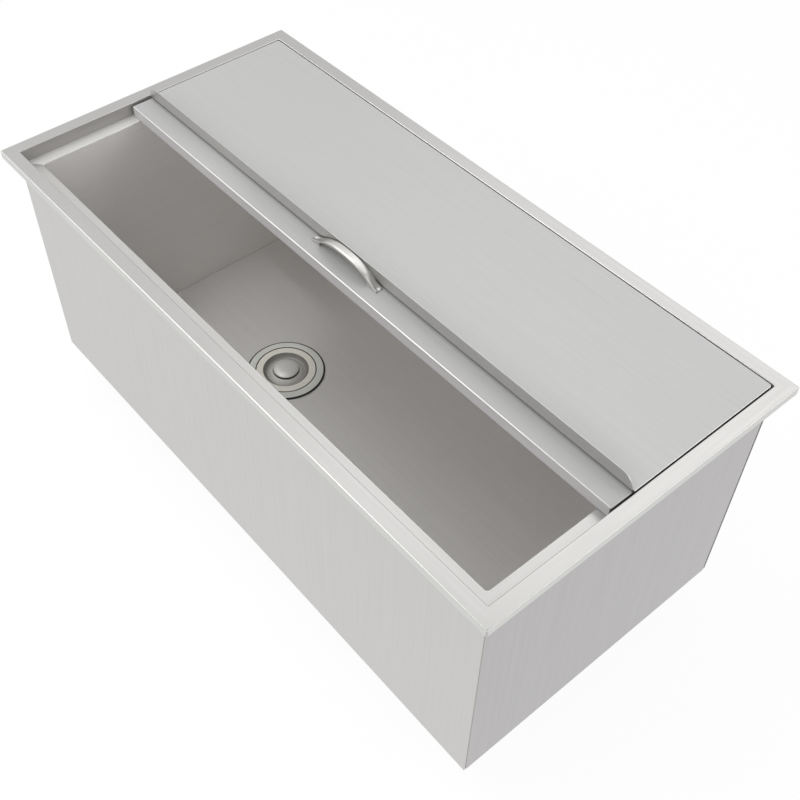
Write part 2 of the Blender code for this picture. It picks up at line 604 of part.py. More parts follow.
def build_handle():
    """A flat bow with a raised panel along its middle and a V flute down each foot."""
    seat = LID_TOP + SEAM
    places = [-share for share in HANDLE_STATION_SHARES[:0:-1]] + list(HANDLE_STATION_SHARES)
    rings = []
    for place in places:
        reach = abs(place)
        top = HANDLE_HEIGHT * share_at(HANDLE_TOP_SHARES, reach)
        under = HANDLE_HEIGHT * share_at(HANDLE_UNDER_SHARES, reach) if reach < HANDLE_FOOT_SHARE else 0
        half = HANDLE_WIDTH / 2 * share_at(HANDLE_WIDTH_SHARES, reach)
        drop = min(top - under, HANDLE_WIDTH / 2) * HANDLE_EDGE_DROP_SHARE
        panel = HANDLE_PANEL * min(max((HANDLE_PANEL_END_SHARE - reach) / HANDLE_PANEL_FADE_SHARE + 1, 0), 1)
        flute_start = (reach - HANDLE_FLUTE_START_SHARE) / (1 - HANDLE_FLUTE_START_SHARE)
        flute_width = HANDLE_FLUTE_WIDTH_SHARE * max(flute_start, 0)
        flute = min(HANDLE_FLUTE_STEEPNESS * flute_width * half, HANDLE_FLUTE_DEPTH_SHARE * (top - under))
        section = [(-1, under)]
        for across, drop_share, raised in HANDLE_SECTION:
            height = top - HANDLE_PANEL - drop * drop_share + panel * raised
            if abs(across) < flute_width:
                height -= flute * (1 - abs(across) / flute_width)
            section.append((across, height))
        section.append((1, under))
        rings.append([Vector((HANDLE_X + place * HANDLE_LENGTH / 2, HANDLE_Y + half * across, seat + height))
                      for across, height in section])
    handle = add_object("bow_handle", loft(rings, closed=False), NICKEL, 50)
    screws = []
    for side in (-1, 1):
        word = "left" if side < 0 else "right"
        boolean(handle, bpy.data.objects["handle_screw_hole_" + word])
        head_z = LID_PAN_Z - SEAM
        crown = head_z - SCREW_HEAD_HEIGHT
        tip = seat + SCREW_ENGAGEMENT
        profile = [(0, crown), (SCREW_HEAD_RADIUS * SCREW_CROWN_SHARE, crown),
                   (SCREW_HEAD_RADIUS, head_z - SCREW_HEAD_HEIGHT * SCREW_CROWN_SHARE),
                   (SCREW_HEAD_RADIUS, head_z), (SCREW_RADIUS, head_z), (SCREW_RADIUS, tip), (0, tip)]
        place = (HANDLE_X + side * HANDLE_HOLE_SPACING / 2, HANDLE_Y, 0)
        screw = add_object("handle_screw_" + word, moved(turned(profile, STEM_TURN, solid=True), place), NICKEL)
        bars = []
        for turn in (0, math.pi / 2):
            reach = SCREW_HEAD_RADIUS * SCREW_CROWN_SHARE
            bar = box((-reach, -SCREW_SLOT / 2, crown - OVERRUN),
                      (reach, SCREW_SLOT / 2, crown + SCREW_HEAD_HEIGHT * SCREW_SLOT_DEPTH_SHARE))
            bars.append(moved(bar, place, turn))
        for index, bar in enumerate(bars):
            boolean(screw, add_object("screw_slot_%s_%d" % (word, index + 1), bar, STEEL))
        screws.append(screw)
    return [handle] + screws


# Rear cover

def build_cover():
    """A flush plate on end and back lips, whose front edge folds up to a round-cornered upstand."""
    half = TUB_SHEET / 2
    lip_bottom = LEDGE_Z + SEAM
    middle_y = (COVER_FRONT + COVER_BACK) / 2
    half_y = COVER_DEPTH / 2
    plate_inset = COVER_CORNER + FOLD_RADIUS + TUB_SHEET
    path = [(half, lip_bottom), (half, FLANGE_TOP - half), (plate_inset, FLANGE_TOP - half)]
    front_run = COVER_FRONT + TUB_SHEET + FOLD_RADIUS
    rings = pan_rings(path, TUB_SHEET, FOLD_RADIUS, COVER_CORNER, COVER_HALF_LENGTH,
                      half_y + plate_inset, (0, middle_y - plate_inset))
    cover = add_object("cover_panel", loft(rings, closed=False), STEEL)
    gone = box((-COVER_HALF_LENGTH - OVERRUN, COVER_FRONT - 2 * plate_inset - OVERRUN, lip_bottom - OVERRUN),
               (COVER_HALF_LENGTH + OVERRUN, front_run, FLANGE_TOP + OVERRUN))
    boolean(cover, add_object("cover_front_cut", gone, STEEL))

    face = COVER_FRONT + half
    path = [(front_run + OVERRUN, FLANGE_TOP - half), (face, FLANGE_TOP - half),
            (face, FLANGE_TOP + UPSTAND_HEIGHT)]
    left, right = folded_sides(path, TUB_SHEET, FOLD_RADIUS)
    span = COVER_HALF_LENGTH - UPSTAND_INSET
    upstand = extruded(left + right[::-1], Vector((0, 1, 0)), Vector((0, 0, 1)), Vector((1, 0, 0)), 2 * span)
    upstand = add_object("cover_upstand", moved(upstand, (-span, 0, 0)), STEEL)
    trims = []
    radius = min(UPSTAND_CORNER, UPSTAND_HEIGHT + TUB_SHEET)
    top = FLANGE_TOP + UPSTAND_HEIGHT
    for side in (-1, 1):
        outline = [(span + OVERRUN, top - radius), (span + OVERRUN, top + OVERRUN),
                   (span - radius, top + OVERRUN)]
        for step in range(UPSTAND_STEPS + 1):
            angle = math.pi / 2 * (1 - step / UPSTAND_STEPS)
            outline.append((span - radius + radius * math.cos(angle), top - radius + radius * math.sin(angle)))
        trim = extruded(outline, Vector((side, 0, 0)), Vector((0, 0, 1)), Vector((0, 1, 0)),
                        TUB_SHEET + 2 * OVERRUN)
        trims.append(moved(trim, (0, COVER_FRONT - OVERRUN, 0)))
    trim = add_object("upstand_corner_trims", joined(trims), STEEL)
    boolean(upstand, trim)
    boolean(cover, upstand, "UNION")
    return [cover]


# Drain

def drain_object(name, bm, material, smooth_angle=35):
    """An object of the drain, whose heights are drawn from the tub's floor."""
    return add_object(name, moved(bm, (-DRAIN_OFFSET, 0, FLOOR_Z)), material, smooth_angle)


def build_strainer_body():
    """Flange, seat, threaded cup and outlet in one turned piece, with a cross-bar spider."""
    inside = CUP_RADIUS - CUP_WALL
    outlet_in = OUTLET_RADIUS - OUTLET_WALL
    edge_top = DRAIN_FLANGE_UNDER + DRAIN_FLANGE_EDGE
    softening = DRAIN_FLANGE_EDGE / 2
    neck_out = SEAT_RADIUS + CUP_WALL
    under_cup = -CUP_DEPTH - CUP_WALL
    chamfer = CUP_FILLET * CUP_CHAMFER_SHARE
    profile = [(DRAIN_FLANGE_RADIUS, DRAIN_FLANGE_UNDER),
               (DRAIN_FLANGE_RADIUS, edge_top - softening / 2),
               (DRAIN_FLANGE_RADIUS - softening, edge_top),
               (DRAIN_FLANGE_RADIUS - DRAIN_FLANGE_SLOPE, DRAIN_CROWN_Z),
               (SEAT_RADIUS + softening, DRAIN_CROWN_Z),
               (SEAT_RADIUS, DRAIN_CROWN_Z - softening),
               (SEAT_RADIUS, SEAT_Z),
               (inside + CUP_WALL / 2, SEAT_Z),
               (inside, SEAT_Z - CUP_WALL),
               (inside, -CUP_DEPTH + CUP_FILLET),
               (inside - chamfer, -CUP_DEPTH + chamfer),
               (inside - CUP_FILLET, -CUP_DEPTH),
               (outlet_in, -CUP_DEPTH),
               (outlet_in, OUTLET_END_Z),
               (OUTLET_RADIUS, OUTLET_END_Z),
               (OUTLET_RADIUS, under_cup),
               (CUP_RADIUS - CUP_FILLET, under_cup),
               (CUP_RADIUS - chamfer, under_cup + chamfer),
               (CUP_RADIUS, under_cup + CUP_FILLET),
               (CUP_RADIUS, -TUB_SHEET),
               (neck_out, DRAIN_FLANGE_UNDER)]
    body = drain_object("strainer_body", turned(profile, WIDE_TURN), NICKEL)
    bar_top = -CUP_DEPTH - SEAM
    bar_bottom = bar_top - SPIDER_BAR
    reach = outlet_in + OUTLET_WALL / 2
    for index in range(SPIDER_BARS):
        bar = box((-reach, -SPIDER_BAR / 2, bar_bottom), (reach, SPIDER_BAR / 2, bar_top))
        guide = drain_object("spider_bar_%d" % (index + 1), moved(bar, turn=math.pi * index / SPIDER_BARS), NICKEL)
        boolean(body, guide, "UNION")
    hub_low = bar_bottom - SPIDER_BAR / 2
    hub = turned([(0, hub_low), (SPIDER_HUB_RADIUS, hub_low), (SPIDER_HUB_RADIUS, bar_top), (0, bar_top)],
                 STEM_TURN, solid=True)
    boolean(body, drain_object("spider_hub", hub, NICKEL), "UNION")
    bore_radius = STEM_RADIUS + SEAM
    bore = turned([(0, hub_low - OVERRUN), (bore_radius, hub_low - OVERRUN), (bore_radius, bar_top + OVERRUN),
                   (0, bar_top + OVERRUN)], STEM_TURN, solid=True)
    boolean(body, drain_object("spider_bore", bore, NICKEL))
    return body


def ring_profile(inner, outer, low, high):
    """The four corners of a plain ring's section."""
    return [(inner, low), (outer, low), (outer, high), (inner, high)]


def build_drain_clamp():
    """Flange seal above the floor, and rubber gasket, fibre washer and locknut under the jacket."""
    seal_out = DRAIN_FLANGE_RADIUS + DRAIN_SEAL_OVERHANG
    seal = ring_profile(seal_out - DRAIN_SEAL_WIDTH, seal_out, SEAM, SEAM + DRAIN_SEAL_THICKNESS)
    drain_object("flange_seal", turned(seal, WIDE_TURN), RUBBER)

    inner = CUP_RADIUS + SEAM
    top = JACKET_UNDER_Z - SEAM
    gasket = ring_profile(inner, inner + GASKET_WIDTH, top - GASKET_THICKNESS, top)
    drain_object("rubber_gasket", turned(gasket, NARROW_TURN), RUBBER)
    top -= GASKET_THICKNESS + SEAM
    washer = ring_profile(inner, inner + WASHER_WIDTH, top - WASHER_THICKNESS, top)
    drain_object("fibre_washer", turned(washer, NARROW_TURN), FIBRE)
    top -= WASHER_THICKNESS + SEAM
    outer = inner + LOCKNUT_WIDTH
    foot = top - LOCKNUT_HEIGHT
    nut_profile = [(inner, foot), (outer - LOCKNUT_BEVEL, foot), (outer, foot + LOCKNUT_BEVEL),
                   (outer, top), (inner, top)]
    nut = drain_object("drain_locknut", turned(nut_profile, NARROW_TURN), NICKEL)
    cuts = []
    for index in range(LOCKNUT_NOTCHES):
        cut = box((outer - LOCKNUT_NOTCH_DEPTH, -LOCKNUT_NOTCH / 2, foot - OVERRUN),
                  (outer + OVERRUN, LOCKNUT_NOTCH / 2, top - LOCKNUT_COLLAR))
        cuts.append(moved(cut, turn=2 * math.pi * index / LOCKNUT_NOTCHES))
    boolean(nut, drain_object("locknut_notches", joined(cuts), NICKEL))


# Down the bowl: the share of the plate's inner radius, then of the bowl's depth
BOWL_SHARES = ((1.0, -0.08), (0.965, 0.05), (0.93, 0.35), (0.88, 0.8), (0.82, 1.0), (0.75, 0.95), (0.68, 0.65),
               (0.61, 0.35), (0.56, 0.27), (0.48, 0.3))

# Down the knob: the share of its radius, then of its height
KNOB_DOME_SHARES = ((0, 1.0), (0.35, 0.96), (0.62, 0.86), (0.83, 0.69), (0.95, 0.52), (1.0, 0.38),
                    (0.97, 0.26), (0.88, 0.22))


def build_stopper():
    """Pressed plate with a bowl and a domed knob, over a slotted basket and a rubber disc on a stem."""
    rim_in = PLATE_RADIUS - PLATE_RIM_WIDTH
    hole = STEM_RADIUS + SEAM
    ring_top = PLATE_TOP_Z - BOWL_DEPTH * BOWL_SHARES[-1][1]
    bowl = [(rim_in * reach, PLATE_TOP_Z - BOWL_DEPTH * depth) for reach, depth in BOWL_SHARES]
    edge = [(PLATE_RADIUS, PLATE_TOP_Z - PLATE_SHEET / 2), (PLATE_RADIUS - PLATE_SHEET / 2, PLATE_TOP_Z)]
    inner = bowl + [(hole, ring_top)]
    lower = [(radius, height - PLATE_SHEET) for radius, height in inner[::-1]]
    upper = edge + inner
    lower.append((PLATE_RADIUS, PLATE_UNDER_Z))
    plate = drain_object("stopper_plate", turned(upper + lower, WIDE_TURN), NICKEL, 40)

    top = PLATE_UNDER_Z - SEAM
    foot = top - BASKET_DEPTH
    low_radius = BASKET_RADIUS - BASKET_TAPER
    corner = BASKET_FILLET
    shell = [(BASKET_RADIUS, top), (low_radius, foot + corner), (low_radius - corner, foot), (hole, foot),
             (hole, foot + BASKET_SHEET), (low_radius - corner - BASKET_SHEET / 2, foot + BASKET_SHEET),
             (low_radius - BASKET_SHEET, foot + corner + BASKET_SHEET / 2),
             (BASKET_RADIUS - BASKET_SHEET, top)]
    basket = drain_object("strainer_basket", turned(shell, WIDE_TURN), NICKEL)
    cuts = []
    for index in range(BASKET_SLOTS):
        turn = 2 * math.pi * (index + 0.5) / BASKET_SLOTS
        low_z, high_z = (foot + BASKET_DEPTH * share for share in BASKET_WALL_SLOT_SHARES)
        wall_cut = box((low_radius - corner, -BASKET_SLOT / 2, low_z),
                       (BASKET_RADIUS + OVERRUN, BASKET_SLOT / 2, high_z))
        cuts.append(moved(wall_cut, turn=turn))
        if index % 2 == 0:
            near, far = (low_radius * share for share in BASKET_FLOOR_SLOT_SHARES)
            floor_cut = box((near, -BASKET_SLOT / 2, foot - OVERRUN),
                            (far, BASKET_SLOT / 2, foot + BASKET_SHEET + OVERRUN))
            cuts.append(moved(floor_cut, turn=turn))
    boolean(basket, drain_object("basket_slots", joined(cuts), NICKEL))

    base = ring_top + SEAM
    stem_top = base + KNOB_HEIGHT / 2
    dome = [(KNOB_RADIUS * reach, base + KNOB_HEIGHT * height) for reach, height in KNOB_DOME_SHARES]
    dome += [(KNOB_NECK, dome[-1][1]), (KNOB_NECK, base), (hole, base), (hole, stem_top + SEAM),
             (0, stem_top + SEAM)]
    knob = drain_object("stopper_knob", turned(dome, WIDE_TURN, solid=True), NICKEL, 40)

    stem_end = -CUP_DEPTH - SPIDER_BAR
    tip = STEM_RADIUS / 2
    stem_profile = [(0, stem_end), (tip, stem_end), (STEM_RADIUS, stem_end + tip),
                    (STEM_RADIUS, stem_top), (0, stem_top)]
    stem = drain_object("stopper_stem", turned(stem_profile, STEM_TURN, solid=True), NICKEL)

    disc_top = DISC_Z + DISC_THICKNESS
    hub_top = disc_top + DISC_THICKNESS / 2
    disc_profile = [(hole, DISC_Z), (DISC_RADIUS - DISC_LIP, DISC_Z), (DISC_RADIUS, DISC_Z + DISC_LIP),
                    (DISC_RADIUS - DISC_LIP, disc_top), (DISC_HUB_RADIUS + DISC_LIP, disc_top),
                    (DISC_HUB_RADIUS, hub_top), (hole, hub_top)]
    disc = drain_object("stopper_disc", turned(disc_profile, NARROW_TURN), RUBBER)
    return [plate, basket, knob, stem, disc]


build_rim()
build_tub()
build_jacket()
build_foam()
build_strainer_body()
build_drain_clamp()

lid_pivot = empty_at("sliding_lid_body", (0, LID_MIDDLE, LID_TOP))
carried_by(lid_pivot, build_lid() + build_handle())
cover_pivot = empty_at("rear_cover_body", (0, (COVER_FRONT + COVER_BACK) / 2, FLANGE_TOP))
carried_by(cover_pivot, build_cover())
stopper_pivot = empty_at("stopper_body", (-DRAIN_OFFSET, 0, FLOOR_Z))
carried_by(stopper_pivot, build_stopper())

for thing in bpy.data.objects:
    if thing.type == "MESH" and not thing.hide_render:
        size = thing.dimensions * 1000
        print("%-24s %7.1f x %7.1f x %7.1f mm" % (thing.name, size.x, size.y, size.z))
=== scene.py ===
import math

import bmesh
import bpy
from mathutils import Matrix, Vector


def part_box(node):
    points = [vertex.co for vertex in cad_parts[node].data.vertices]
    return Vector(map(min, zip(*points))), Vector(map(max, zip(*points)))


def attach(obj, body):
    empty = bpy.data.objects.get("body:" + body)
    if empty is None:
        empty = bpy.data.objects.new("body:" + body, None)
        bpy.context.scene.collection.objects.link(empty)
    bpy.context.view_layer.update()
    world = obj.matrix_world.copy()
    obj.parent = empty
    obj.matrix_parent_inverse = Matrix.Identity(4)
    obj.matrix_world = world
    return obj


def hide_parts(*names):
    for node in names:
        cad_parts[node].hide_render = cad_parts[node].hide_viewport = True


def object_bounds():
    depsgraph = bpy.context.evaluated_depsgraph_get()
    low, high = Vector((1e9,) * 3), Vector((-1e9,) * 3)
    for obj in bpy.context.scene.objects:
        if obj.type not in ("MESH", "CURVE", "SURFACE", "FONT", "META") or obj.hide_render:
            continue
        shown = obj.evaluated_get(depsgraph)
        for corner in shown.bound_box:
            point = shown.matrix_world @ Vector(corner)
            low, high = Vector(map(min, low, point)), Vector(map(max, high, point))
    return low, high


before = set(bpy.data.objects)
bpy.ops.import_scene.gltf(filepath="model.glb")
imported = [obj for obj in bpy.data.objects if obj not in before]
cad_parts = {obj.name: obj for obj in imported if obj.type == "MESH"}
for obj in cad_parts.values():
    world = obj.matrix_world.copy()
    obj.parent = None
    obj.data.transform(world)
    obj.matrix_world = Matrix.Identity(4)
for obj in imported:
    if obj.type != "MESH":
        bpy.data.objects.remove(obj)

cadLow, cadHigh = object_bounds()          # the CAD box, before any piece is replaced
mm = 0.001
whole = 2 * math.pi
quarter = math.pi / 2
yAxis, zAxis = Vector((0, 1, 0)), Vector((0, 0, 1))
print("frame loaded:", len(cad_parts), "nodes")


# Levels and places that the pieces share, read from the frame
rimLow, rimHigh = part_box("rim_frame")
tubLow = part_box("tub_liner")[0]
lidLow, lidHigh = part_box("lid_skin")
coverLow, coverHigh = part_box("cover_panel")
handleLow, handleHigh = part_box("bow_handle")
strainerLow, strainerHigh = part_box("strainer_body")
halfLength, halfWidth = rimHigh.x, rimHigh.y
sheet = 1.0 * mm                       # tub, rim, lid and cover steel
floorZ = tubLow.z + sheet              # top of the tub's floor
drainPlace = Vector(((strainerLow.x + strainerHigh.x) / 2, (strainerLow.y + strainerHigh.y) / 2, floorZ))


# Meshes

def roundedRing(halfX, halfY, radius, z, middle=(0, 0), steps=8):
    # a rectangle with round corners, anticlockwise from above
    ring = []
    for corner, (sideX, sideY) in enumerate(((1, 1), (-1, 1), (-1, -1), (1, -1))):
        for step in range(steps + 1):
            angle = quarter * (corner + step / steps)
            ring.append(Vector((middle[0] + sideX * (halfX - radius) + radius * math.cos(angle),
                                middle[1] + sideY * (halfY - radius) + radius * math.sin(angle), z)))
    return ring


def foldedSection(path, thickness, bend, steps=6, softStart=True, softEnd=False):
    # both faces of a sheet folded along its middle line; a raw edge that shows is slightly rounded
    points = [Vector(point) for point in path]
    middle = []
    for index, point in enumerate(points):
        if index in (0, len(points) - 1):
            other = points[1] if index == 0 else points[-2]
            along = (other - point if index == 0 else point - other).normalized()
            middle.append((point, Vector((-along.y, along.x))))
            continue
        arrive = (point - points[index - 1]).normalized()
        leave = (points[index + 1] - point).normalized()
        turn = arrive.angle_signed(leave)
        start = point - arrive * bend * math.tan(abs(turn) / 2)
        centre = start + Vector((-arrive.y, arrive.x)) * (-bend if turn > 0 else bend)
        for step in range(steps + 1):
            swing = Matrix.Rotation(-turn * step / steps, 2)
            along = swing @ arrive
            middle.append((centre + swing @ (start - centre), Vector((-along.y, along.x))))
    left = [point + normal * thickness / 2 for point, normal in middle]
    right = [point - normal * thickness / 2 for point, normal in middle]
    softness = thickness * 0.2
    for end, inner, soft in ((0, 1, softStart), (-1, -2, softEnd)):
        corners = left[end].copy(), right[end].copy()
        for side, corner, other in ((left, *corners), (right, *corners[::-1])) if soft else ():
            side[end] = corner + (side[inner] - corner).normalized() * softness
            side.insert(0 if end == 0 else len(side), corner + (other - corner).normalized() * softness)
    return left, right


def loft(rings, closed):
    # bridge equal rings; an open row is capped at both ends, a closed one joins up
    bm = bmesh.new()
    rows = [[bm.verts.new(point) for point in ring] for ring in rings]
    pairs = list(zip(rows, rows[1:]))
    if closed:
        pairs.append((rows[-1], rows[0]))
    else:
        bm.faces.new(rows[0])
        bm.faces.new(rows[-1])
    for lower, upper in pairs:
        for index, vert in enumerate(lower):
            following = (index + 1) % len(lower)
            bm.faces.new((vert, lower[following], upper[following], upper[index]))
    return bm


def turned(profile, steps=128, solid=False):
    # spin (radius, height) points about Z; a solid one starts and ends on the axis
    bm = bmesh.new()
    verts = [bm.verts.new((radius, 0, height)) for radius, height in profile]
    links = list(zip(verts, verts[1:]))
    if not solid:
        links.append((verts[-1], verts[0]))
    edges = [bm.edges.new(link) for link in links]
    bmesh.ops.spin(bm, geom=verts + edges, cent=(0, 0, 0), axis=(0, 0, 1), angle=whole, steps=steps,
                   use_merge=True)
    bmesh.ops.remove_doubles(bm, verts=bm.verts, dist=0.001 * mm)
    return bm


def box(low, high):
    bm = bmesh.new()
    bmesh.ops.create_cube(bm, size=1.0)
    for vert in bm.verts:
        for axis in range(3):
            vert.co[axis] = high[axis] if vert.co[axis] > 0 else low[axis]
    return bm


def extruded(outline, axisX, axisY, along):
    # a closed outline drawn on two directions, pulled along a third
    near = [axisX * point[0] + axisY * point[1] for point in outline]
    return loft([near, [point + along for point in near]], closed=False)


def moved(bm, offset=(0, 0, 0), turn=0):
    bm.transform(Matrix.Translation(offset) @ Matrix.Rotation(turn, 4, "Z"))
    return bm


def smoothRow(points, steps=4):
    # a curve through every point, for the flowing part of a profile
    row = []
    for index in range(len(points) - 1):
        before = points[max(index - 1, 0)]
        start, end = points[index], points[index + 1]
        after = points[min(index + 2, len(points) - 1)]
        for step in range(steps):
            t = step / steps
            row.append(tuple(0.5 * (2 * b + (c - a) * t + (2 * a - 5 * b + 4 * c - d) * t * t
                                    + (3 * b - a - 3 * c + d) * t ** 3)
                             for a, b, c, d in zip(before, start, end, after)))
    row.append(tuple(points[-1]))
    return row


def arcRow(centre, radius, fromTurn, toTurn, steps=6):
    # points of an arc in a profile, turns given in quarters
    return [(centre[0] + radius * math.cos(quarter * (fromTurn + (toTurn - fromTurn) * step / steps)),
             centre[1] + radius * math.sin(quarter * (fromTurn + (toTurn - fromTurn) * step / steps)))
            for step in range(steps + 1)]


# Objects

def newThing(name, bm):
    bmesh.ops.recalc_face_normals(bm, faces=bm.faces)
    mesh = bpy.data.meshes.new(name)
    bm.to_mesh(mesh)
    bm.free()
    thing = bpy.data.objects.new(name, mesh)
    bpy.context.scene.collection.objects.link(thing)
    return thing


def settle(thing):
    # the modifiers' result becomes the piece's own plain mesh
    bpy.context.view_layer.update()
    graph = bpy.context.evaluated_depsgraph_get()
    mesh = bpy.data.meshes.new_from_object(thing.evaluated_get(graph), preserve_all_data_layers=True,
                                           depsgraph=graph)
    thing.modifiers.clear()
    thing.data = mesh
    return thing


def taken(thing):
    # the mesh of a helper object, which is gone afterwards
    bm = bmesh.new()
    bm.from_mesh(thing.data)
    bpy.data.objects.remove(thing)
    return bm


def cut(thing, cutters, operation="DIFFERENCE"):
    # the cutters are meshes, taken away from the piece or joined to it
    for cutter in cutters:
        guide = newThing("guide", cutter)
        modifier = thing.modifiers.new("cut", "BOOLEAN")
        modifier.operation = operation
        modifier.solver = "EXACT"
        modifier.object = guide
        settle(thing)
        bpy.data.objects.remove(guide)
    return thing


def smoothed(thing, angle):
    # round faces shade smooth and flat ones stay flat
    thing.data.shade_smooth()
    thing.data.set_sharp_from_angle(angle=math.radians(angle))
    modifier = thing.modifiers.new("evenShade", "WEIGHTED_NORMAL")
    modifier.keep_sharp = True
    modifier.weight = 100
    return settle(thing)


def hand(thing, body, slot, *replacedNodes):
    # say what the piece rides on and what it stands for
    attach(thing, body)
    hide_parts(*replacedNodes)
    print("piece", thing.name, "faces", len(thing.data.polygons))
    return thing


def paint(thing, *materials, rule=None):
    # one material, or several that a rule on each face's middle and normal picks from
    thing.data.materials.clear()
    for material in materials:
        thing.data.materials.append(material)
    for face in thing.data.polygons:
        face.material_index = rule(face.center, face.normal) if rule else 0
    return thing


# Node trees, for materials and for geometry

def addNode(tree, kind, inputs=(), **settings):
    # an input is a value, a socket, or a node whose first output is used
    node = tree.nodes.new(kind)
    for name, value in settings.items():
        setattr(node, name, value)
    for key, value in dict(inputs).items():
        if isinstance(value, bpy.types.Node):
            value = value.outputs[0]
        if isinstance(value, bpy.types.NodeSocket):
            tree.links.new(value, node.inputs[key])
        else:
            node.inputs[key].default_value = value
    return node


def calc(tree, operation, first, second, **settings):
    return addNode(tree, "ShaderNodeMath", {0: first, 1: second}, operation=operation, **settings)


def vectorOf(tree, **parts):
    return addNode(tree, "ShaderNodeCombineXYZ", {"xyz".index(axis): value for axis, value in parts.items()})


def rangeOf(tree, value, low, high, fromLow=0.3, fromHigh=0.7):
    return addNode(tree, "ShaderNodeMapRange", {"Value": value, "From Min": fromLow, "From Max": fromHigh,
                                                "To Min": low, "To Max": high})


def noiseAt(tree, place, scale, detail=2, stretch=(1, 1, 1), offset=(0, 0, 0)):
    mapping = addNode(tree, "ShaderNodeMapping", {"Vector": place, "Scale": stretch, "Location": offset})
    return addNode(tree, "ShaderNodeTexNoise", {"Vector": mapping, "Scale": scale, "Detail": detail})


def shaded(color, amount):
    return tuple(min(channel * amount, 1) for channel in color)


def mixTones(tree, share, *tones):
    # from one tone to another; each is a color or a socket
    low, high = (tone if isinstance(tone, bpy.types.NodeSocket) else (*tone, 1) for tone in tones)
    return addNode(tree, "ShaderNodeMix", {0: share, 6: low, 7: high}, data_type="RGBA").outputs[2]


def markTone(tree, marks, tone, contrast):
    return mixTones(tree, rangeOf(tree, marks, 0, 1), shaded(tone, 1 - contrast), shaded(tone, 1 + contrast))


def newMaterial(name):
    # the material, its tree and the place on the object that its pattern reads
    material = bpy.data.materials.new(name)
    material.use_nodes = True
    tree = material.node_tree
    return material, tree, addNode(tree, "ShaderNodeTexCoord").outputs["Object"]


def finishMaterial(material, color, roughness, metal, marks, bump, depth):
    # the marks raise the surface too
    tree = material.node_tree
    shader = tree.nodes["Principled BSDF"]
    raised = addNode(tree, "ShaderNodeBump", {"Strength": bump, "Distance": depth, "Height": marks})
    for label, socket in (("Base Color", color), ("Roughness", roughness.outputs[0]),
                          ("Normal", raised.outputs[0])):
        tree.links.new(socket, shader.inputs[label])
    shader.inputs["Metallic"].default_value = metal
    return material


# Brushed sheet: fine scratches, wider streaks and slow cloudy patches, drawn out along the grain
sheetFinish = {
    "scratchesPerMetre": 1500,
    "streaksPerMetre": 240,
    "streakStart": (0.37, 0.11, 0.23),
    "patchesPerMetre": 7,
    "cloudy": 0.4,
    "drawnOut": 60,                    # how many times longer than wide a scratch is
    "glossSpread": 0.05,
    "bump": 0.035,
    "bumpDepth": 0.2 * mm,
    # tone, roughness, share of bare metal and strength of the brush marks
    # the looks below are one brushed steel in lighter and darker copies, which paint the light and shade that
    # each strip of the sheet takes
    "flange": ((0.475, 0.470, 0.460), 0.32, 1.0, 0.025),
    # painted highlight: the folds are lighter than the flat sheet
    "fold": ((0.57, 0.567, 0.55), 0.34, 1.0, 0.020),
    "lip": ((0.62, 0.62, 0.60), 0.40, 0.9, 0.020),
    # painted shade: the recess wall is darker than the flange and the ledge
    "recess": ((0.42, 0.405, 0.39), 0.50, 0.6, 0.025),
    "ledge": ((0.50, 0.496, 0.485), 0.36, 0.9, 0.025),
    # painted light: the left ledge is lighter and less metallic, against the shade that the recess wall casts
    # on it
    "leftLedge": ((0.62, 0.617, 0.60), 0.50, 0.2, 0.025),
    # painted light: the tub is lighter to lift the shade inside it, and its bends are painted darker as
    # painted shade
    "tub": ((0.835, 0.82, 0.805), 0.60, 0.7, 0.025),
    "tubBend": ((0.70, 0.69, 0.675), 0.60, 0.7, 0.025),
    "cover": ((0.472, 0.470, 0.464), 0.48, 0.4, 0.025),
    "upstand": ((0.50, 0.495, 0.484), 0.45, 0.9, 0.030),
    "lid": ((0.435, 0.432, 0.427), 0.55, 0.3, 0.025),
    # painted light: the lid's front lip is lighter where it faces the dark tub
    "lidLip": ((0.60, 0.585, 0.59), 0.50, 0.3, 0.020),
    # painted shade: a nearly black sheet for the gaps, undersides and lips that lie in shade
    "paintedDeepShade": ((0.15, 0.148, 0.145), 0.60, 0.8, 0.030),
    # painted light and shade: the long panels are lighter and the end panels darker, as the light falls on
    # each side
    "longPanel": ((0.588, 0.582, 0.57), 0.42, 1.0, 0.012),
    "endPanel": ((0.472, 0.460, 0.466), 0.42, 1.0, 0.012),
}


def brushedSheet(name, look, grain, finish=sheetFinish):
    tone, roughness, metal, contrast = finish[look]
    material, tree, place = newMaterial(name)
    stretch = tuple(1 / finish["drawnOut"] if axis == grain else 1 for axis in "xyz")
    scratches = noiseAt(tree, place, finish["scratchesPerMetre"], 3, stretch)
    streaks = noiseAt(tree, place, finish["streaksPerMetre"], 2, stretch, finish["streakStart"])
    patches = noiseAt(tree, place, finish["patchesPerMetre"], 1)
    lines = calc(tree, "MULTIPLY", calc(tree, "ADD", scratches, streaks), 0.5)
    color = mixTones(tree, rangeOf(tree, patches, 0, finish["cloudy"]),
                     markTone(tree, lines, tone, contrast), shaded(tone, 1 - contrast / 2))
    spread = finish["glossSpread"]
    gloss = rangeOf(tree, lines, roughness + spread, roughness - spread)
    return finishMaterial(material, color, gloss, metal, scratches, finish["bump"], finish["bumpDepth"])


# the rim's and the tub's steel is brushed along each side
rimSteel = {look + grain: brushedSheet(look + "SteelAlong" + grain, look, grain.lower())
            for look in ("flange", "fold", "lip", "recess", "ledge", "leftLedge", "tub") for grain in "XY"}
coverSteel, upstandSteel, lidSteel, lidLipSteel, paintedDeepShadeSteel = (
    brushedSheet(look + "Steel", look, "x") for look in ("cover", "upstand", "lid", "lidLip", "paintedDeepShade"))
tubBendSteel = brushedSheet("tubBendSteel", "tubBend", "y")
longPanelSteel, endPanelSteel = (
    brushedSheet(look + "Steel", look, "z") for look in ("longPanel", "endPanel"))


